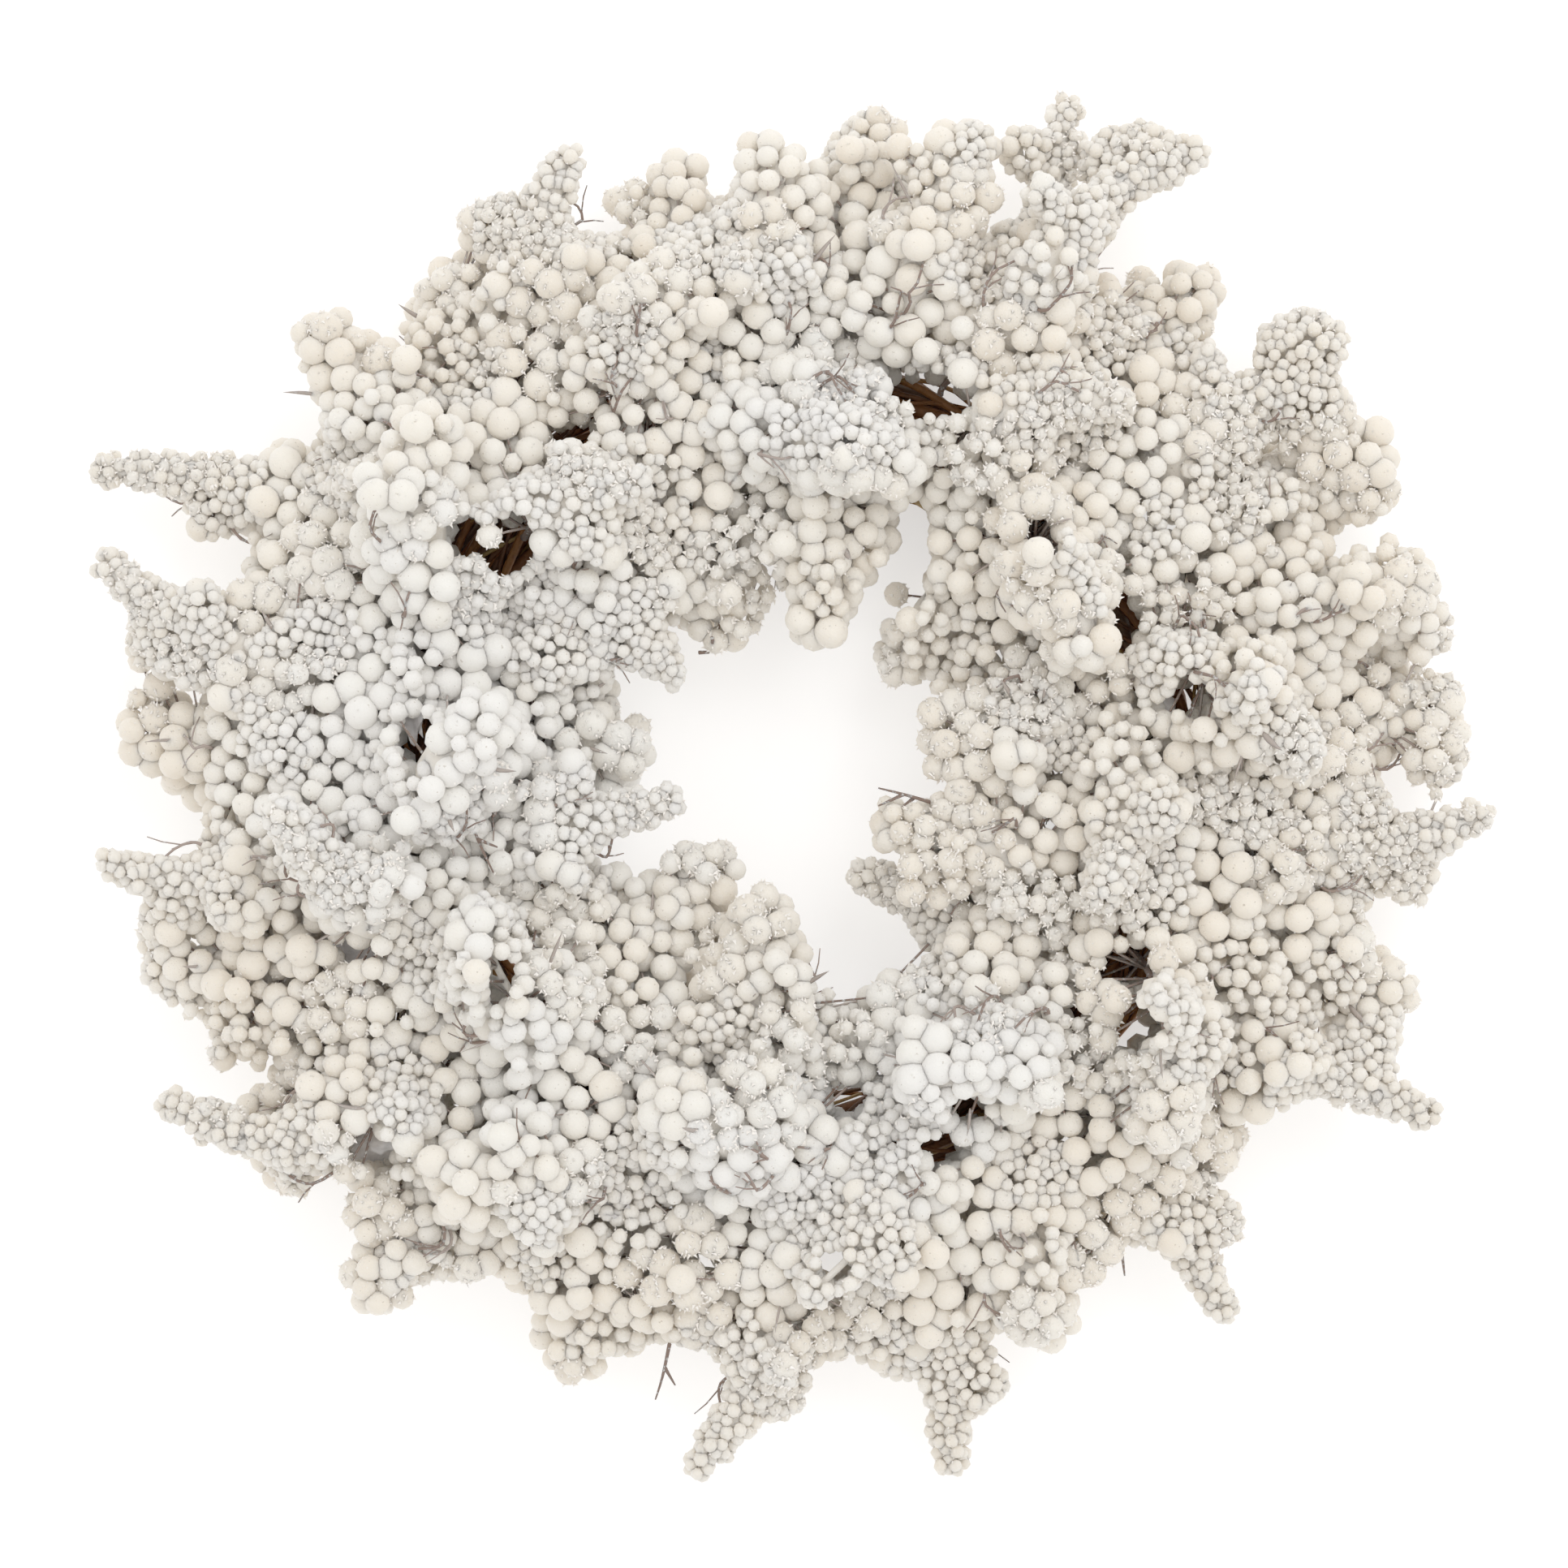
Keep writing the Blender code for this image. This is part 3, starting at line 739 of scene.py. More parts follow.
def inside_limits(points, radius):
    """Which places keep a ball off the floor, out of the vine, the hole and the chinks, and under the top."""
    x, y, z = points.T
    across = (np.hypot(x, y) - RING_RADIUS) / (VINE_HALF_WIDTH + 0.8 * radius)
    up = (z - VINE_CENTRE_Z) / (VINE_HALF_HEIGHT + 0.8 * radius)
    (left, low), (right, high) = HOLE_BOX
    in_hole = (x + radius > left) & (x - radius < right) & (y + radius > low) & (y - radius < high)
    held = (z - radius > FLOOR_CLEARANCE) & (z + radius < TOP_LIMIT)
    margin = 600 * radius
    opened = in_chink(x, y, margin) & (z > CHINK_FLOOR) | in_chink(x, y, margin, NOTCH)
    return held & (across**2 + up**2 > 1.0) & ~in_hole & ~opened


def kind_is(points, kind):
    """Which places take that kind of ball: beads on spikes and patches, elsewhere by the cluster."""
    balls = ball_near(points)
    bead = HEAD_IS_SPIKE[balls] & (HEAD_STATIONS[balls] > BEAD_START)
    for across, up, reach in PATCHES:
        away = (1000 * points[:, 0] - across) ** 2 + (1000 * points[:, 1] - up) ** 2
        bead |= (away < reach**2) & (points[:, 2] > PATCH_FLOOR)
    _, numbers = clusters(points)
    low, high = CLUSTER_KINDS[kind]
    picked = (numbers >= low) & (numbers < high)
    return bead | picked if kind == "bead" else ~bead & picked


def pack(heap, rng, kind, count, depth, spread, press, sizes=None, hidden=False):
    """Tries places of one kind, or of any, and adds what fits to the sprays."""
    choices = np.array(sizes or SIZES[kind])
    points = skin_places(rng, count, depth, spread)
    points = points[inside_limits(points, choices.mean())]
    if kind != "any":
        points = points[kind_is(points, kind)]
    kept = []
    for (x, y, z), radius in zip(points.tolist(), rng.choice(choices, len(points)).tolist()):
        if heap.has_room(x, y, z, radius, press):
            heap.add(x, y, z, radius)
            kept.append((x, y, z, radius))
    owners, balls = spray_at(np.array([place[:3] for place in kept]))
    for place, owner, ball in zip(kept, owners, balls):
        PLANS[owner]["balls"].append((*place, int(ball), hidden))
    return len(kept)


def fill_skin():
    """All passes, from the largest balls to the smallest."""
    rng = np.random.default_rng(SEED)
    heap = Heap()
    for number, plan in enumerate(PLANS):
        plan["balls"] = []
        for _, centre, radius in plan["berries"]:
            heap.add(*centre, radius)
            plan["balls"].append((*centre, radius, -1, False))
    return {
        "large": pack(heap, rng, "large", 60000, 0.0015, 0.0015, PRESS),
        "middle": pack(heap, rng, "middle", 70000, 0.0018, 0.0015, PRESS),
        "small": pack(heap, rng, "small", 60000, 0.0015, 0.0015, PRESS),
        "bead": pack(heap, rng, "bead", 260000, 0.0010, 0.0010, BEAD_PRESS),
        "under": pack(heap, rng, "any", 40000, 0.0070, 0.0015, 0.80, SIZES["middle"], True),
        "between": pack(heap, rng, "any", 60000, 0.0020, 0.0020, 0.84, SIZES["small"]),
    }


print("balls of each pass", fill_skin())
print("balls in all", sum(len(plan["balls"]) for plan in PLANS))

# %% [markdown]
# ## Model the balls that are copied
#
# Each is a primitive ball with its points pushed in and out a little, like foam under a coat of frost. A few
# versions of each keep the copies from looking alike. Balls that face up get more faces.

# %% Model a few versions of every ball
def ball_versions(make, roughness, count, seed):
    """Versions of a ball of radius 1 as arrays of points and triangles."""
    rng = np.random.default_rng(seed)
    versions = []
    for _ in range(count):
        bpy.ops.object.select_all(action="DESELECT")
        make()
        ball = bpy.context.object
        bpy.ops.object.mode_set(mode="EDIT")
        bpy.ops.mesh.select_all(action="SELECT")
        bpy.ops.mesh.quads_convert_to_tris()
        bpy.ops.object.mode_set(mode="OBJECT")
        points = np.array([tuple(v.co) for v in ball.data.vertices])
        faces = np.array([tuple(p.vertices) for p in ball.data.polygons])
        versions.append((points * (1 + rng.uniform(-roughness, roughness, (len(points), 1))), faces))
        mesh = ball.data
        bpy.data.objects.remove(ball)
        bpy.data.meshes.remove(mesh)
    return versions


def fine_ball():
    bpy.ops.mesh.primitive_ico_sphere_add(subdivisions=3, radius=1.0)


def plain_ball():
    bpy.ops.mesh.primitive_ico_sphere_add(subdivisions=2, radius=1.0)


def bead_ball():
    bpy.ops.mesh.primitive_uv_sphere_add(segments=7, ring_count=4, radius=1.0)


def far_ball():
    bpy.ops.mesh.primitive_ico_sphere_add(subdivisions=1, radius=1.06)


FINE_BALLS = ball_versions(fine_ball, 0.018, 8, 11)
PLAIN_BALLS = ball_versions(plain_ball, 0.024, 8, 12)
BEAD_BALLS = ball_versions(bead_ball, 0.05, 8, 13)
FAR_BALLS = ball_versions(far_ball, 0.03, 6, 14)
print("faces of each ball", [len(balls[0][1]) for balls in (FINE_BALLS, PLAIN_BALLS, BEAD_BALLS, FAR_BALLS)])

# %% [markdown]
# ## Which balls show from above
#
# A height map from above tells which share of each ball's disc is uncovered. It decides only how many faces
# each ball gets.

# %% Look down on the balls
MAP_STEP = 0.001
MAP_HALF = 0.31


def uncovered_shares():
    """For each spray's balls, the share of each disc that nothing covers from above."""
    size = int(2 * MAP_HALF / MAP_STEP)
    height = np.full((size, size), -1.0)
    domes = []
    for plan in PLANS:
        for x, y, z, radius, _, _ in plan["balls"]:
            reach = int(radius / MAP_STEP) + 1
            i, j = int((x + MAP_HALF) / MAP_STEP), int((y + MAP_HALF) / MAP_STEP)
            span = MAP_STEP * np.arange(-reach, reach + 1)
            away = span[:, None] ** 2 + span[None, :] ** 2
            dome = np.where(away < radius**2, z + np.sqrt(np.maximum(0.0, radius**2 - away)), -2.0)
            window = (slice(i - reach, i + reach + 1), slice(j - reach, j + reach + 1))
            height[window] = np.maximum(height[window], dome)
            domes.append((window, dome))
    shares = iter([(dome >= height[window] - 1e-7).sum() / (dome > -1).sum() for window, dome in domes])
    return [[float(next(shares)) for _ in plan["balls"]] for plan in PLANS]


SHARES = uncovered_shares()
print("balls that show from above", sum(share > 0.1 for shares in SHARES for share in shares))

# %% [markdown]
# ## Joining shapes into one piece
#
# A pile collects small closed shapes as arrays, with a finish and a tint each, and turns them into one mesh.

# %% The pile, tubes and smooth lines
class Pile:
    """Collects small closed shapes for one piece."""

    def __init__(self):
        self.points, self.faces, self.tints, self.finishes, self.soft = [], [], [], [], []
        self.count = 0

    def add(self, points, faces, finish, tint, smooth=True):
        self.points.append(points)
        self.faces.append(faces + self.count)
        self.tints.append(np.full(len(points), tint) if np.isscalar(tint) else tint)
        self.finishes.append(np.full(len(faces), finish, int))
        self.soft.append(np.full(len(faces), smooth))
        self.count += len(points)

    def piece(self, name, materials):
        """The finished object."""
        points = np.concatenate(self.points)
        faces = np.concatenate(self.faces)
        mesh = bpy.data.meshes.new(name)
        mesh.vertices.add(len(points))
        mesh.loops.add(faces.size)
        mesh.polygons.add(len(faces))
        mesh.vertices.foreach_set("co", points.astype(np.float32).ravel())
        mesh.loops.foreach_set("vertex_index", faces.astype(np.int32).ravel())
        mesh.polygons.foreach_set("loop_start", np.arange(0, faces.size, 3, dtype=np.int32))
        mesh.polygons.foreach_set("loop_total", np.full(len(faces), 3, dtype=np.int32))
        mesh.polygons.foreach_set("material_index", np.concatenate(self.finishes).astype(np.int32))
        mesh.polygons.foreach_set("use_smooth", np.concatenate(self.soft))
        tint = mesh.attributes.new("tint", "FLOAT", "POINT")
        tint.data.foreach_set("value", np.concatenate(self.tints).astype(np.float32))
        mesh.update(calc_edges=True)
        mesh.validate()
        for finish in materials:
            mesh.materials.append(finish)
        thing = bpy.data.objects.new(name, mesh)
        bpy.context.scene.collection.objects.link(thing)
        return thing


def tube(points, radii, sides, flat=1.0):
    """A closed tube of triangles through the points, pressed flat by that share."""
    frames = frames_along([Vector(p) for p in points])
    ring = []
    for (centre, _, across, over), radius in zip(frames, radii):
        for j in range(sides):
            angle = 2 * math.pi * j / sides
            sideways = across * math.cos(angle) + over * (flat * math.sin(angle))
            ring.append(centre + sideways * radius)
    ring += [frames[0][0] - frames[0][1] * radii[0] * 0.3, frames[-1][0] + frames[-1][1] * radii[-1] * 0.3]
    faces = []
    for k in range(len(points) - 1):
        for j in range(sides):
            a, b = k * sides + j, k * sides + (j + 1) % sides
            faces += [(a, b, b + sides), (a, b + sides, a + sides)]
    top = (len(points) - 1) * sides
    low, high = len(ring) - 2, len(ring) - 1
    for j in range(sides):
        faces.append((low, (j + 1) % sides, j))
        faces.append((high, top + j, top + (j + 1) % sides))
    return np.array([tuple(p) for p in ring]), np.array(faces)


def curve_through(points, steps):
    """More points on a smooth line through the given ones."""
    fine = []
    last = len(points) - 1
    for k in range(last):
        a, b = points[max(0, k - 1)], points[k]
        c, d = points[k + 1], points[min(last, k + 2)]
        for i in range(steps):
            t = i / steps
            bend = (2 * a - 5 * b + 4 * c - d) * t**2 + (3 * b - a - 3 * c + d) * t**3
            fine.append(0.5 * (2 * b + (c - a) * t + bend))
    fine.append(points[-1])
    return fine


def random_turn(rng):
    """A random turn as a small array."""
    turn = Matrix.Rotation(rng.uniform(0, 6.28), 3, "Z") @ Matrix.Rotation(rng.uniform(0, 6.28), 3, "X")
    return np.array(turn)


print("pile ready")

# %% [markdown]
# ## Tints
#
# Each berry gets a tint between cream and white, darker and creamier low down and at the rim as painted
# shade.
# Berries of one cluster are alike, and a few wide spots, each given as a middle and a reach in millimetres,
# are whiter than the rest.

# %% Choose a tint for a place
FOAM_SLOT, STEM_SLOT, FROST_SLOT, FILM_SLOT = 0, 1, 2, 3
LOW_TINT = 0.30
# Painted shade: the tint rises with height, so berries lower down, where shade falls among the heads, are
# darker and creamier.
PAINTED_DEPTH_SHADE = 0.22
# Painted shade: berries beyond 0.20 m from the middle get a darker tint towards the outer rim.
PAINTED_RIM_SHADE = 0.10
SPOT_TINT = 0.42
CLUSTER_TINT = 0.34
BERRY_TINT = 0.07
WHITE_SPOTS = (
    (-125, 60, 75),
    (10, 155, 45),
    (45, -135, 45),
    (-60, -20, 40),
    (-100, -120, 45),
    (-150, 0, 60),
    (-20, -150, 40),
    (70, -100, 35),
)


def cluster_number(x, y, z):
    """The number, from 0 to 1, of the cluster at a place."""
    return float(clusters([(x, y, z)])[1][0])


def tint_with_painted_shade(x, y, z, rng):
    """The tint at a place: darker cream low down and at the rim as painted shade, white on top and in the
    whitest spots.
    """
    # Painted shade: the lower a berry lies, the darker and creamier its tint.
    value = LOW_TINT + PAINTED_DEPTH_SHADE * min(1.0, z / 0.10)
    # Painted shade: the tint darkens towards the outer rim.
    value -= PAINTED_RIM_SHADE * max(0.0, (math.hypot(x, y) - 0.20) / 0.08)
    for across, up, reach in WHITE_SPOTS:
        away = ((1000 * x - across) ** 2 + (1000 * y - up) ** 2) / reach**2
        value += SPOT_TINT * math.exp(-away)
    value += CLUSTER_TINT * (7.0 * cluster_number(x, y, z) % 1.0 - 0.5)
    return min(1.0, max(0.0, value + rng.gauss(0.0, BERRY_TINT)))


print("white spots", len(WHITE_SPOTS))

# %% [markdown]
# ## Stems, cores and stalks
#
# A stem runs from the vine into a slim core, which the berries hide. A thin stalk goes from the core to every
# berry.

# %% Stem, core and stalks of a spray
CORE_SHARES = {"bunch": 0.70, "spike": 0.85}
CORE_CUT = 0.001
BARE_STEM = 0.0014
STEM_END = 0.003
CHINK_MARGIN = 8
NOTCH_MARGIN = 7
STALK_RADII = (0.0008, 0.0006, 0.0005)


def add_core(pile, plan):
    """The stem, and the slim core inside the head."""
    line = curve_through(plan["line"], 2)
    radii = []
    for i, point in enumerate(line):
        _, thick = along_head(plan, i / 2)
        bare = i / 2 < HEAD_START or in_chink(point.x, point.y, CHINK_MARGIN)
        radii.append(BARE_STEM if bare else max(BARE_STEM, thick * CORE_SHARES[plan["end"]] - CORE_CUT))
    stem = next((i for i, radius in enumerate(radii) if radius > STEM_END), len(radii) - 1)
    pile.add(*tube(line[: stem + 1], radii[:stem] + [BARE_STEM], 6), STEM_SLOT, 0.5)
    pile.add(*tube(line[stem:], radii[stem:], 10), FOAM_SLOT, 0.5)


def add_stalk(pile, plan, number, ball, centre, radius, rng):
    """A thin stalk from the head's line to a berry."""
    if ball < 0:
        foot = next(foot for foot, middle, _ in plan["berries"] if (middle - centre).length < 1e-6)
    else:
        first = number * BALLS_PER_HEAD
        foot = Vector(HEAD_CENTRES[max(first, ball - 1)])
    middle = foot.lerp(centre, 0.6) + Vector((0, 0, 0.1)) * (centre - foot).length
    pile.add(*tube([foot, middle, centre], STALK_RADII, 3), STEM_SLOT, rng.uniform(0.0, 1.0))


print("stems and stalks ready")

# %% [markdown]
# ## Frost and berries
#
# Small spikes of frost stand on the berries that show. In some clusters they are longer and much denser.

# %% Berries, beads and their frost
FROST_PER_AREA = 1.6e5
HEAVY_FROST_PER_AREA = 7.5e5
HEAVY_SHARE = 0.34
FROST_SIZES = (0.0005, 0.0009)
HEAVY_FROST_SIZES = (0.0009, 0.0017)
SHARD_POINTS = np.array([(0.55, 0, -0.4), (-0.3, 0.5, -0.4), (-0.3, -0.5, -0.4), (0, 0, 1.0)])
SHARD_FACES = np.array([(0, 2, 1), (0, 1, 3), (1, 2, 3), (2, 0, 3)])


def add_frost(pile, centre, radius, rng):
    """Spikes of frost that stick out of a berry, mostly on top, and many more of them in a frosty cluster."""
    heavy = 11.0 * cluster_number(*centre) % 1.0 < HEAVY_SHARE
    for _ in range(round((HEAVY_FROST_PER_AREA if heavy else FROST_PER_AREA) * radius**2)):
        way = Vector((rng.gauss(0, 1), rng.gauss(0, 1), rng.gauss(0.35, 0.8))).normalized()
        leaning = (way + 0.5 * Vector((rng.gauss(0, 1), rng.gauss(0, 1), rng.gauss(0, 1)))).normalized()
        turn = np.array(leaning.to_track_quat("Z", "Y").to_matrix())
        size = rng.uniform(*(HEAVY_FROST_SIZES if heavy else FROST_SIZES))
        shard = SHARD_POINTS @ turn.T * size + np.array(centre + way * radius * 0.99)
        pile.add(shard, SHARD_FACES, FROST_SLOT, 1.0, smooth=False)


def shape_for(radius, share, hidden):
    """The versions that suit a ball: more faces where it is large and shows from above."""
    if share < 0.05:
        return BEAD_BALLS if radius > 0.0043 and not hidden else FAR_BALLS
    if radius < 0.0043:
        return BEAD_BALLS if share > 0.2 else FAR_BALLS
    return FINE_BALLS if share > 0.8 and radius > 0.0058 else PLAIN_BALLS


def add_balls(pile, plan, number, shares, rng):
    """All berries and beads of a spray."""
    for (x, y, z, radius, ball, hidden), share in zip(plan["balls"], shares):
        centre = Vector((x, y, z))
        if radius > 0.0043 and not hidden:
            add_stalk(pile, plan, number, ball, centre, radius, rng)
        points, faces = rng.choice(shape_for(radius, share, hidden))
        squashed = points * np.array([1, 1, rng.uniform(0.94, 1.0)])
        placed = squashed @ random_turn(rng) * radius + np.array(centre)
        pile.add(placed, faces, FOAM_SLOT, tint_with_painted_shade(x, y, z, rng))
        if share > 0.4:
            add_frost(pile, centre, radius, rng)


print("frost ready, faces of a spike", len(SHARD_FACES))

# %% [markdown]
# ## Twigs and dry leaves
#
# Thin twigs arch over the berries, each with a few side twigs, and slim leaf tips peep out.

# %% Twigs and leaves of a spray
TWIGS_PER_HEAD = {"bunch": 6, "spike": 3}
TWIG_RADIUS = 0.0008
TWIG_ARCH = 0.0085
SIDE_TWIG_RADII = (0.00045, 0.0004, 0.0003)
LOWEST_TWIG = 0.012
LEAVES_PER_HEAD = {"bunch": 2, "spike": 1}
LEAF_LENGTHS = (0.010, 0.017)
LEAF_HALF_WIDTHS = (0.0008, 0.0015)


def add_twigs(pile, plan, rng):
    """Twigs that run along the head among its outermost berries, each with a few short side twigs."""
    frames = frames_along(plan["line"])
    for _ in range(TWIGS_PER_HEAD[plan["end"]]):
        turn = rng.uniform(0, 2 * math.pi)
        start = rng.uniform(2.2, 6.2)
        length = rng.uniform(0.7, 1.7)
        line = []
        for i in range(5):
            spot = min(STATIONS - 1.01, start + length * i / 4)
            point, thick = along_head(plan, spot)
            turn += rng.uniform(-0.12, 0.12)
            _, _, across, over = frames[int(spot)]
            rise = -0.003 + TWIG_ARCH * math.sin(math.pi * i / 4) + rng.uniform(-0.0006, 0.0006)
            line.append(point + (across * math.cos(turn) + over * math.sin(turn)) * (thick + rise))
        hangs = any(in_chink(p.x, p.y, 0) or in_chink(p.x, p.y, NOTCH_MARGIN, NOTCH) for p in line)
        if hangs or min(p.z for p in line) < LOWEST_TWIG:
            continue
        fine = curve_through(line, 2)
        radii = [TWIG_RADIUS * (1 - 0.375 * i / (len(fine) - 1)) for i in range(len(fine))]
        tint = rng.uniform(0.1, 0.8)
        pile.add(*tube(fine, radii, 5), STEM_SLOT, tint)
        for i in (3, 5):
            along = (fine[i + 1] - fine[i - 1]).normalized()
            side = along.cross(Vector((0, 0, 1))).normalized() * rng.choice((-1, 1))
            tip = fine[i] + along * rng.uniform(0.007, 0.013) + side * rng.uniform(0.004, 0.009)
            tip.z += rng.uniform(-0.004, 0.001)
            bend = fine[i].lerp(tip, 0.5) + along * 0.001
            pile.add(*tube([fine[i], bend, tip], SIDE_TWIG_RADII, 4), STEM_SLOT, tint)


def add_leaves(pile, plan, rng):
    """Slim dry leaves that peep out near the tip of the head."""
    frames = frames_along(plan["line"])
    for _ in range(LEAVES_PER_HEAD[plan["end"]]):
        k = rng.choice((5, 6, 7)) if plan["end"] == "bunch" else 4
        point, along, across, over = frames[k]
        turn = rng.uniform(0, 2 * math.pi)
        out = across * math.cos(turn) + over * math.sin(turn)
        if out.z < -0.5:
            continue
        way = (along * rng.uniform(0.3, 1.2) + out).normalized()
        base = point + out * (core_radius(k, plan["end"]) - 0.001)
        length = rng.uniform(*LEAF_LENGTHS)
        curl = Vector((rng.uniform(-1, 1), rng.uniform(-1, 1), rng.uniform(-1, 1))) * 0.15 * length
        line = [base + way * length * s + curl * s * s for s in (0.0, 0.2, 0.4, 0.6, 0.8, 1.0)]
        width = rng.uniform(*LEAF_HALF_WIDTHS)
        pile.add(*tube(line, [width * s for s in (0.35, 0.9, 1.0, 0.85, 0.5, 0.08)], 4, 0.15), STEM_SLOT, 0.9)


print("twigs and leaves ready")

# %% [markdown]
# ## Bare twigs and films
#
# A few bare forked twigs stick out where nothing hides them, and torn films of dried glaze hang between the
# berries. Both are given in millimetres.

# %% Bare twigs and films
BARE_TWIG_RADIUS = 0.0009
FILM_POINTS = 7


def add_bare_twig(pile, forks):
    """A twig without berries, as branches that each run through a few points in millimetres."""
    for branch in forks:
        line = curve_through([Vector(p) / 1000 for p in branch], 3)
        radii = [BARE_TWIG_RADIUS * (1.0 - 0.6 * i / (len(line) - 1)) for i in range(len(line))]
        pile.add(*tube(line, radii, 5), STEM_SLOT, 0.15)


def add_film(pile, across, up, height, wide, tall, turn, rng):
    """A thin torn film of dried glaze that hangs between berries, given in millimetres."""
    count = FILM_POINTS
    rows = []
    for side in (1, -1):
        for i in range(count):
            for j in range(count):
                a, b = 2 * i / (count - 1) - 1, 2 * j / (count - 1) - 1
                torn = 1.0 if abs(a) < 0.9 and abs(b) < 0.9 else 1.0 + 0.22 * math.sin(5.1 * i + 7.7 * j + up)
                x, y = 0.5 * wide * a * torn * (1 - 0.45 * b * b), 0.5 * tall * b * torn
                z = 2.6 * math.sin(3.4 * a + 2.0 * b) + 1.8 * math.cos(4.1 * b + up) + side * 0.12
                c, s = math.cos(math.radians(turn)), math.sin(math.radians(turn))
                rows.append((across + c * x - s * y, up + s * x + c * y, height + z))
    faces = []
    for i in range(count - 1):
        for j in range(count - 1):
            a, b = i * count + j, (i + 1) * count + j
            faces += [(a, b, b + 1), (a, b + 1, a + 1)]
    back = [(c + count**2, b + count**2, a + count**2) for a, b, c in faces]
    edge = [i * count for i in range(count - 1)] + [(count - 1) * count + j for j in range(count - 1)]
    edge += [i * count + count - 1 for i in range(count - 1, 0, -1)] + list(range(count - 1, 0, -1))
    rim = []
    for a, b in zip(edge, edge[1:] + edge[:1]):
        rim += [(b, a, a + count**2), (b, a + count**2, b + count**2)]
    pile.add(np.array(rows) / 1000, np.array(faces + back + rim), FILM_SLOT, rng.uniform(0.3, 0.7))


FILMS = (
    (96, 111, 72, 22, 13, -15),
    (-147, 29, 62, 11, 24, 12),
    (63, -172, 52, 13, 12, 0),
    (-66, -166, 60, 15, 9, 30),
    (150, 28, 62, 12, 16, 20),
    (-20, -120, 74, 14, 10, -40),
    (-168, -65, 50, 20, 15, 0),
    (-163, -145, 42, 22, 13, 10),
)
BARE_TWIGS = (
    (
        ((139, -176, 34), (136.5, -187, 31), (131, -188.5, 30), (124, -188, 28)),
        ((136.5, -187, 31), (138, -198.5, 30)),
    ),
    (
        ((-28, 58, 46), (-27.5, 54.5, 40), (-27, 52.2, 36)),
        ((-33.5, 52.4, 37), (-27, 52.8, 36), (-24, 54, 35)),
    ),
    (
        ((60, -8, 60), (48, -4.5, 64), (38, -2, 64)),
        ((48, -4.5, 64), (38, -9, 66)),
        ((52, -6, 62), (39, -17, 62)),
    ),
    (((-80, -214, 30), (-84, -226, 27), (-88, -237, 24)),),
    (((-45, -224, 44), (-48, -238, 38), (-51, -248, 32)), ((-47, -234, 40), (-43, -242, 34))),
    (((-120, -170, 52), (-106, -176, 56), (-92, -178, 54)), ((-106, -176, 56), (-99, -168, 58))),
    (((-124, -8, 74), (-119, -22, 80), (-113, -35, 78)), ((-119, -22, 80), (-111, -25, 84))),
)


print("bare twigs", len(BARE_TWIGS), "films", len(FILMS))

# %% [markdown]
# ## Dress the sprays
#
# Every spray becomes one piece that stands for the solid of the same name.

# %% Join each spray's stem, stalks, balls, frost and twigs
def nearest_spray(place):
    """The number of the spray nearest to a place in millimetres."""
    owners, _ = spray_at(np.array([place]) / 1000)
    return int(owners[0])


def dress(number, plan, shares, rng, materials):
    """One spray's piece."""
    pile = Pile()
    add_core(pile, plan)
    add_balls(pile, plan, number, shares, rng)
    add_twigs(pile, plan, rng)
    add_leaves(pile, plan, rng)
    for forks in BARE_TWIGS:
        if nearest_spray(forks[0][0]) == number:
            add_bare_twig(pile, forks)
    for film in FILMS:
        if nearest_spray(film[:3]) == number:
            add_film(pile, *film, rng)
    piece = pile.piece(plan["name"].replace("spray", "dressed"), materials)
    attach(piece, "root")
    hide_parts(plan["name"])
    return piece


FOAM = bpy.data.materials.new("frosted_foam")
STEM = bpy.data.materials.new("frosted_stem")
FROST = bpy.data.materials.new("frost_grains")
FILM = bpy.data.materials.new("glaze_film")
rng = random.Random(SEED + 2)
PIECES = []
for number, plan in enumerate(PLANS):
    PIECES.append(dress(number, plan, SHARES[number], rng, [FOAM, STEM, FROST, FILM]))
faces = [len(piece.data.polygons) for piece in PIECES]
print("dressed sprays", len(PIECES), "faces", sum(faces), "largest", max(faces))

# %% [markdown]
# ## The vine of loose twigs
#
# Brown twigs wander round the ring inside the solid's section, each over a part of the circle, and the lowest
# lie flat on the floor. Thin ones cross over the thick ones.

# %% Wind the twigs
TWIG_KINDS = (
    # how many, thickness, depth in the bundle, span in degrees, winds over 200 degrees, step in degrees
    (44, (0.0026, 0.0036), (0.00, 0.75), (150, 330), (0.4, 1.0), 7),
    (66, (0.0012, 0.0022), (0.40, 0.96), (70, 200), (0.8, 1.7), 5),
    (64, (0.0006, 0.0011), (0.85, 1.00), (40, 90), (1.5, 3.2), 3),
)


def twig_line(rng, depths, spans, winds, step):
    """A twig that winds slowly round the middle of the vine bundle."""
    start = rng.uniform(0, 360)
    span = rng.uniform(*spans)
    depth = rng.uniform(*depths)
    phase = rng.uniform(0, 360)
    turns = rng.uniform(*winds) * rng.choice((1, 1, -1)) * span / 200
    line = []
    steps = int(span / step)
    for k in range(steps + 1):
        share = k / steps
        side = math.radians(phase + 360 * turns * share)
        wobble = depth + 0.06 * math.sin(9 * share + phase)
        radius = RING_RADIUS + VINE_HALF_WIDTH * wobble * math.cos(side)
        height = VINE_CENTRE_Z + 0.0015 + VINE_HALF_HEIGHT * wobble * math.sin(side)
        line.append(turned(start + span * share, radius, height))
    return line


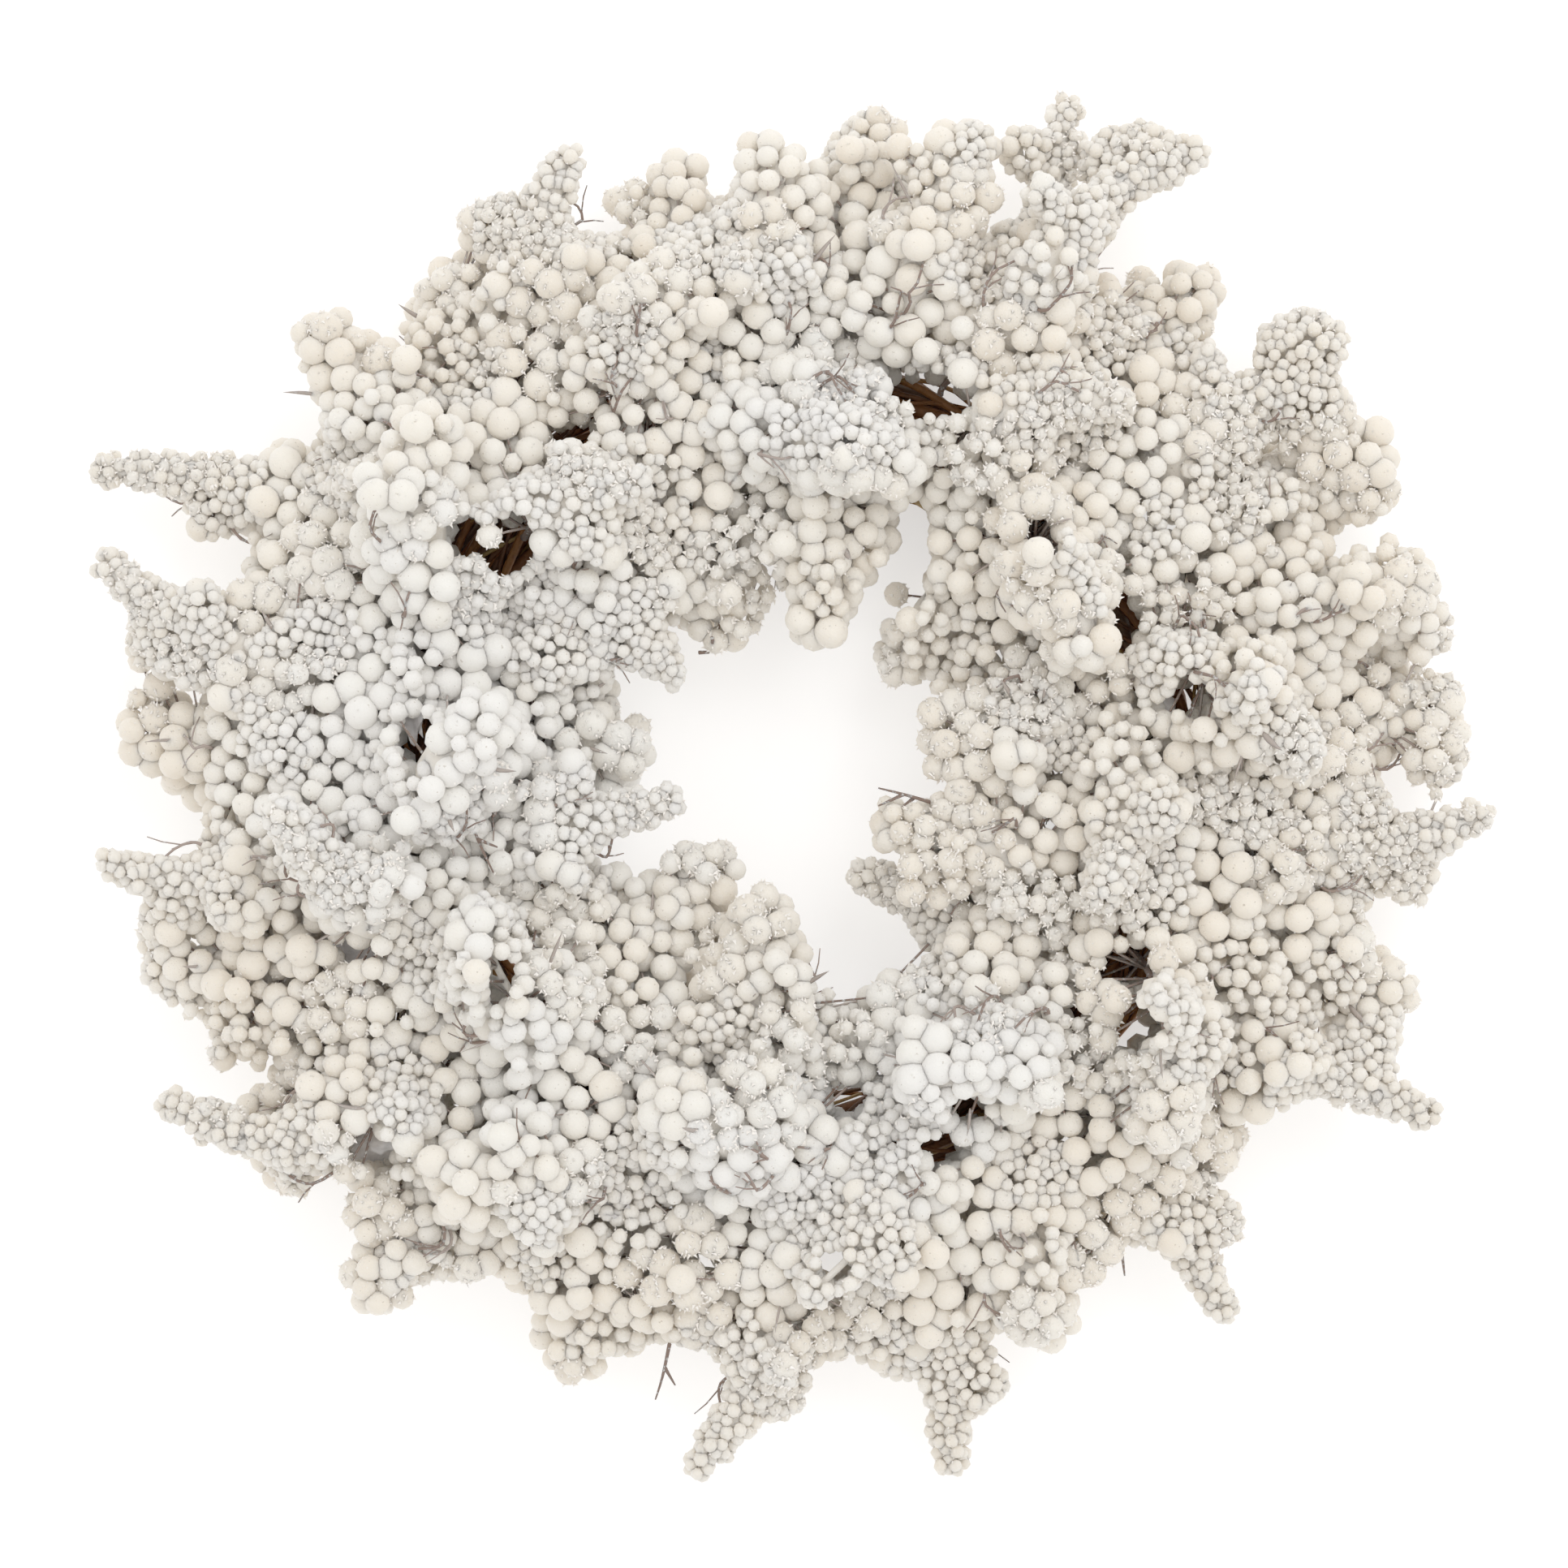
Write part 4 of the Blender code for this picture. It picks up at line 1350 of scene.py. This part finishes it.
def wind_vine(materials):
    """The whole vine as one piece."""
    rng = random.Random(SEED + 3)
    pile = Pile()
    for count, thicknesses, depths, spans, winds, step in TWIG_KINDS:
        for _ in range(count):
            line = twig_line(rng, depths, spans, winds, step)
            thick = rng.uniform(*thicknesses)
            line = [Vector((p.x, p.y, max(thick + 0.0002, p.z))) for p in line]
            last = len(line) - 1
            radii = [thick * min(1.0, 0.35 + 4 * min(k, last - k) / last) for k in range(last + 1)]
            pile.add(*tube(line, radii, 6), 0, rng.uniform(0, 1))
    piece = pile.piece("vine_twigs", materials)
    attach(piece, "root")
    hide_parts("vine_ring")
    return piece


BARK = bpy.data.materials.new("bark")
VINE = wind_vine([BARK])
print("vine faces", len(VINE.data.polygons))

# %% [markdown]
# ## Finishes
#
# The foam is a soft off-white with a few dark pores and a frost of fine grains. The stems are grey-brown
# under the same frost, and the bark is dark brown.

# %% Finish of the foam, the stems, the frost and the bark
def nodes_of(material):
    """The material's node tree and its shader."""
    material.use_nodes = True
    tree = material.node_tree
    return tree, tree.nodes["Principled BSDF"]


def grain(tree, scale, detail, roughness=0.5):
    """Noise in the object's own coordinates."""
    made = tree.nodes.new("ShaderNodeTexNoise")
    made.inputs["Scale"].default_value = scale
    made.inputs["Detail"].default_value = detail
    made.inputs["Roughness"].default_value = roughness
    place = tree.nodes.new("ShaderNodeTexCoord")
    tree.links.new(place.outputs["Object"], made.inputs["Vector"])
    return made


def ramp(tree, source, stops):
    """Colours by value."""
    made = tree.nodes.new("ShaderNodeValToRGB")
    bar = made.color_ramp
    while len(bar.elements) < len(stops):
        bar.elements.new(0.5)
    for element, (place, colour) in zip(bar.elements, stops):
        element.position = place
        element.color = (*colour, 1.0)
    tree.links.new(source, made.inputs["Fac"])
    return made


def mixed(tree, kind, factor, a, b):
    """Two colours mixed."""
    made = tree.nodes.new("ShaderNodeMix")
    made.data_type = "RGBA"
    made.blend_type = kind
    made.inputs[0].default_value = factor
    tree.links.new(a, made.inputs[6])
    tree.links.new(b, made.inputs[7])
    return made


def bump(tree, shader, source, strength, distance):
    """Relief from a value."""
    made = tree.nodes.new("ShaderNodeBump")
    made.inputs["Strength"].default_value = strength
    made.inputs["Distance"].default_value = distance
    tree.links.new(source, made.inputs["Height"])
    tree.links.new(made.outputs["Normal"], shader.inputs["Normal"])


def tint_of(tree):
    """The tint that each point carries."""
    made = tree.nodes.new("ShaderNodeAttribute")
    made.attribute_name = "tint"
    return made.outputs["Fac"]


def finish_foam(material):
    """Off-white foam: a tint for each berry, with painted shade low down and at the rim, small darker pores,
    frost grains.
    """
    tree, shader = nodes_of(material)
    # The cream low end of these stops shows the painted shade of low and rim berries as well as their own
    # cream tone.
    stops = [
        (0.0, (0.81, 0.735, 0.63)),
        (0.30, (0.88, 0.805, 0.70)),
        (0.60, (0.925, 0.865, 0.775)),
        (1.0, (0.96, 0.93, 0.885)),
    ]
    tone = ramp(tree, tint_of(tree), stops)
    pores = grain(tree, 700.0, 1.0)
    specks = ramp(tree, pores.outputs["Fac"], [(0.22, (0.45, 0.40, 0.34)), (0.30, (1, 1, 1))])
    colour = mixed(tree, "MULTIPLY", 0.6, tone.outputs["Color"], specks.outputs["Color"])
    tree.links.new(colour.outputs[2], shader.inputs["Base Color"])
    shader.inputs["Roughness"].default_value = 0.55
    shader.inputs["Subsurface Weight"].default_value = 0.9
    shader.inputs["Subsurface Radius"].default_value = (1.0, 1.0, 1.0)
    shader.inputs["Subsurface Scale"].default_value = 0.005
    grains = grain(tree, 1300.0, 3.0, 0.7)
    bump(tree, shader, grains.outputs["Fac"], 0.7, 0.0008)


def finish_stem(material):
    """Grey-brown stems with frost on them."""
    tree, shader = nodes_of(material)
    stops = [(0.0, (0.12, 0.07, 0.05)), (0.6, (0.25, 0.18, 0.15)), (1.0, (0.42, 0.37, 0.34))]
    bark = ramp(tree, tint_of(tree), stops)
    cover = grain(tree, 600.0, 3.0, 0.6)
    frost = ramp(tree, cover.outputs["Fac"], [(0.52, (0.0, 0.0, 0.0)), (0.72, (0.72, 0.70, 0.68))])
    colour = mixed(tree, "LIGHTEN", 1.0, bark.outputs["Color"], frost.outputs["Color"])
    tree.links.new(colour.outputs[2], shader.inputs["Base Color"])
    shader.inputs["Roughness"].default_value = 0.75
    bump(tree, shader, cover.outputs["Fac"], 0.6, 0.0005)


def finish_frost(material):
    """Clear white grains."""
    tree, shader = nodes_of(material)
    cloud = grain(tree, 300.0, 2.0)
    tone = ramp(tree, cloud.outputs["Fac"], [(0.3, (0.91, 0.87, 0.81)), (0.7, (0.97, 0.945, 0.91))])
    tree.links.new(tone.outputs["Color"], shader.inputs["Base Color"])
    shader.inputs["Roughness"].default_value = 0.25


def finish_film(material):
    """Thin grey-white glaze that light passes through."""
    tree, shader = nodes_of(material)
    cloud = grain(tree, 220.0, 3.0)
    tone = ramp(tree, cloud.outputs["Fac"], [(0.35, (0.62, 0.60, 0.60)), (0.65, (0.88, 0.86, 0.87))])
    tree.links.new(tone.outputs["Color"], shader.inputs["Base Color"])
    shader.inputs["Roughness"].default_value = 0.3
    shader.inputs["Alpha"].default_value = 0.6
    bump(tree, shader, cloud.outputs["Fac"], 0.6, 0.0008)


def finish_bark(material):
    """Dark brown bark, redder and yellower from twig to twig."""
    tree, shader = nodes_of(material)
    stops = [
        (0.0, (0.07, 0.035, 0.016)),
        (0.5, (0.23, 0.080, 0.022)),
        (0.8, (0.38, 0.15, 0.04)),
        (1.0, (0.40, 0.29, 0.10)),
    ]
    tone = ramp(tree, tint_of(tree), stops)
    streaks = grain(tree, 260.0, 4.0, 0.6)
    shade = ramp(tree, streaks.outputs["Fac"], [(0.3, (0.45, 0.42, 0.4)), (0.7, (1, 1, 1))])
    colour = mixed(tree, "MULTIPLY", 0.8, tone.outputs["Color"], shade.outputs["Color"])
    tree.links.new(colour.outputs[2], shader.inputs["Base Color"])
    shader.inputs["Roughness"].default_value = 0.65
    bump(tree, shader, streaks.outputs["Fac"], 0.7, 0.0008)


finish_foam(FOAM)
finish_stem(STEM)
finish_frost(FROST)
finish_film(FILM)
finish_bark(BARK)
print("finishes made")

# %% [markdown]
# ## Floor, light and camera
#
# The floor is a plain pale sheet. Broad soft lights hang above the face, stronger from the upper right.
# The camera looks straight down from far enough away that the berries at the rim hardly lean.

# %% Set the stage
PICTURE_WIDTH = 0.6242
CAMERA_HEIGHT = 1.65
MIDDLE_HEIGHT = 0.05


def set_floor():
    """A wide pale sheet just under the wreath."""
    bpy.ops.object.select_all(action="DESELECT")
    bpy.ops.mesh.primitive_plane_add(size=8.0, location=(0, 0, -0.0002))
    floor = bpy.context.object
    floor.name = "floor"
    pale = bpy.data.materials.new("pale_floor")
    _, shader = nodes_of(pale)
    shader.inputs["Base Color"].default_value = (0.80, 0.80, 0.81, 1.0)
    shader.inputs["Roughness"].default_value = 0.9
    shader.inputs["Emission Color"].default_value = (1.0, 1.0, 1.0, 1.0)
    shader.inputs["Emission Strength"].default_value = 0.42
    floor.data.materials.append(pale)


def area_light(name, place, size, power):
    """A square soft light that faces the wreath."""
    data = bpy.data.lights.new(name, "AREA")
    data.shape = "SQUARE"
    data.size = size
    data.energy = power
    light = bpy.data.objects.new(name, data)
    light.location = place
    light.rotation_euler = Vector(place).to_track_quat("Z", "Y").to_euler()
    bpy.context.scene.collection.objects.link(light)


def set_lights():
    """Two soft lights and an even sky."""
    area_light("upper_softbox", (0.8, 1.1, 1.7), 1.2, 10.0)
    area_light("left_softbox", (-1.4, 0.3, 1.6), 1.4, 2.0)
    world = bpy.data.worlds.new("studio")
    world.use_nodes = True
    bpy.context.scene.world = world
    sky = world.node_tree.nodes["Background"]
    sky.inputs["Color"].default_value = (1.0, 0.975, 0.94, 1.0)
    sky.inputs["Strength"].default_value = 0.84


def set_camera():
    """Straight down on the middle of the wreath."""
    data = bpy.data.cameras.new("camera")
    data.sensor_width = 36.0
    data.lens = data.sensor_width * CAMERA_HEIGHT / PICTURE_WIDTH
    data.clip_end = 20.0
    camera = bpy.data.objects.new("camera", data)
    middle = (Vector(CAD_BOX[0]) + Vector(CAD_BOX[1])) / 2
    camera.location = (middle.x - 0.0015, middle.y + 0.0012, MIDDLE_HEIGHT + CAMERA_HEIGHT)
    bpy.context.scene.collection.objects.link(camera)
    bpy.context.scene.camera = camera


set_floor()
set_lights()
set_camera()
bpy.context.scene.view_settings.view_transform = "Standard"
bpy.context.scene.view_settings.gamma = 1.4
print("stage set")
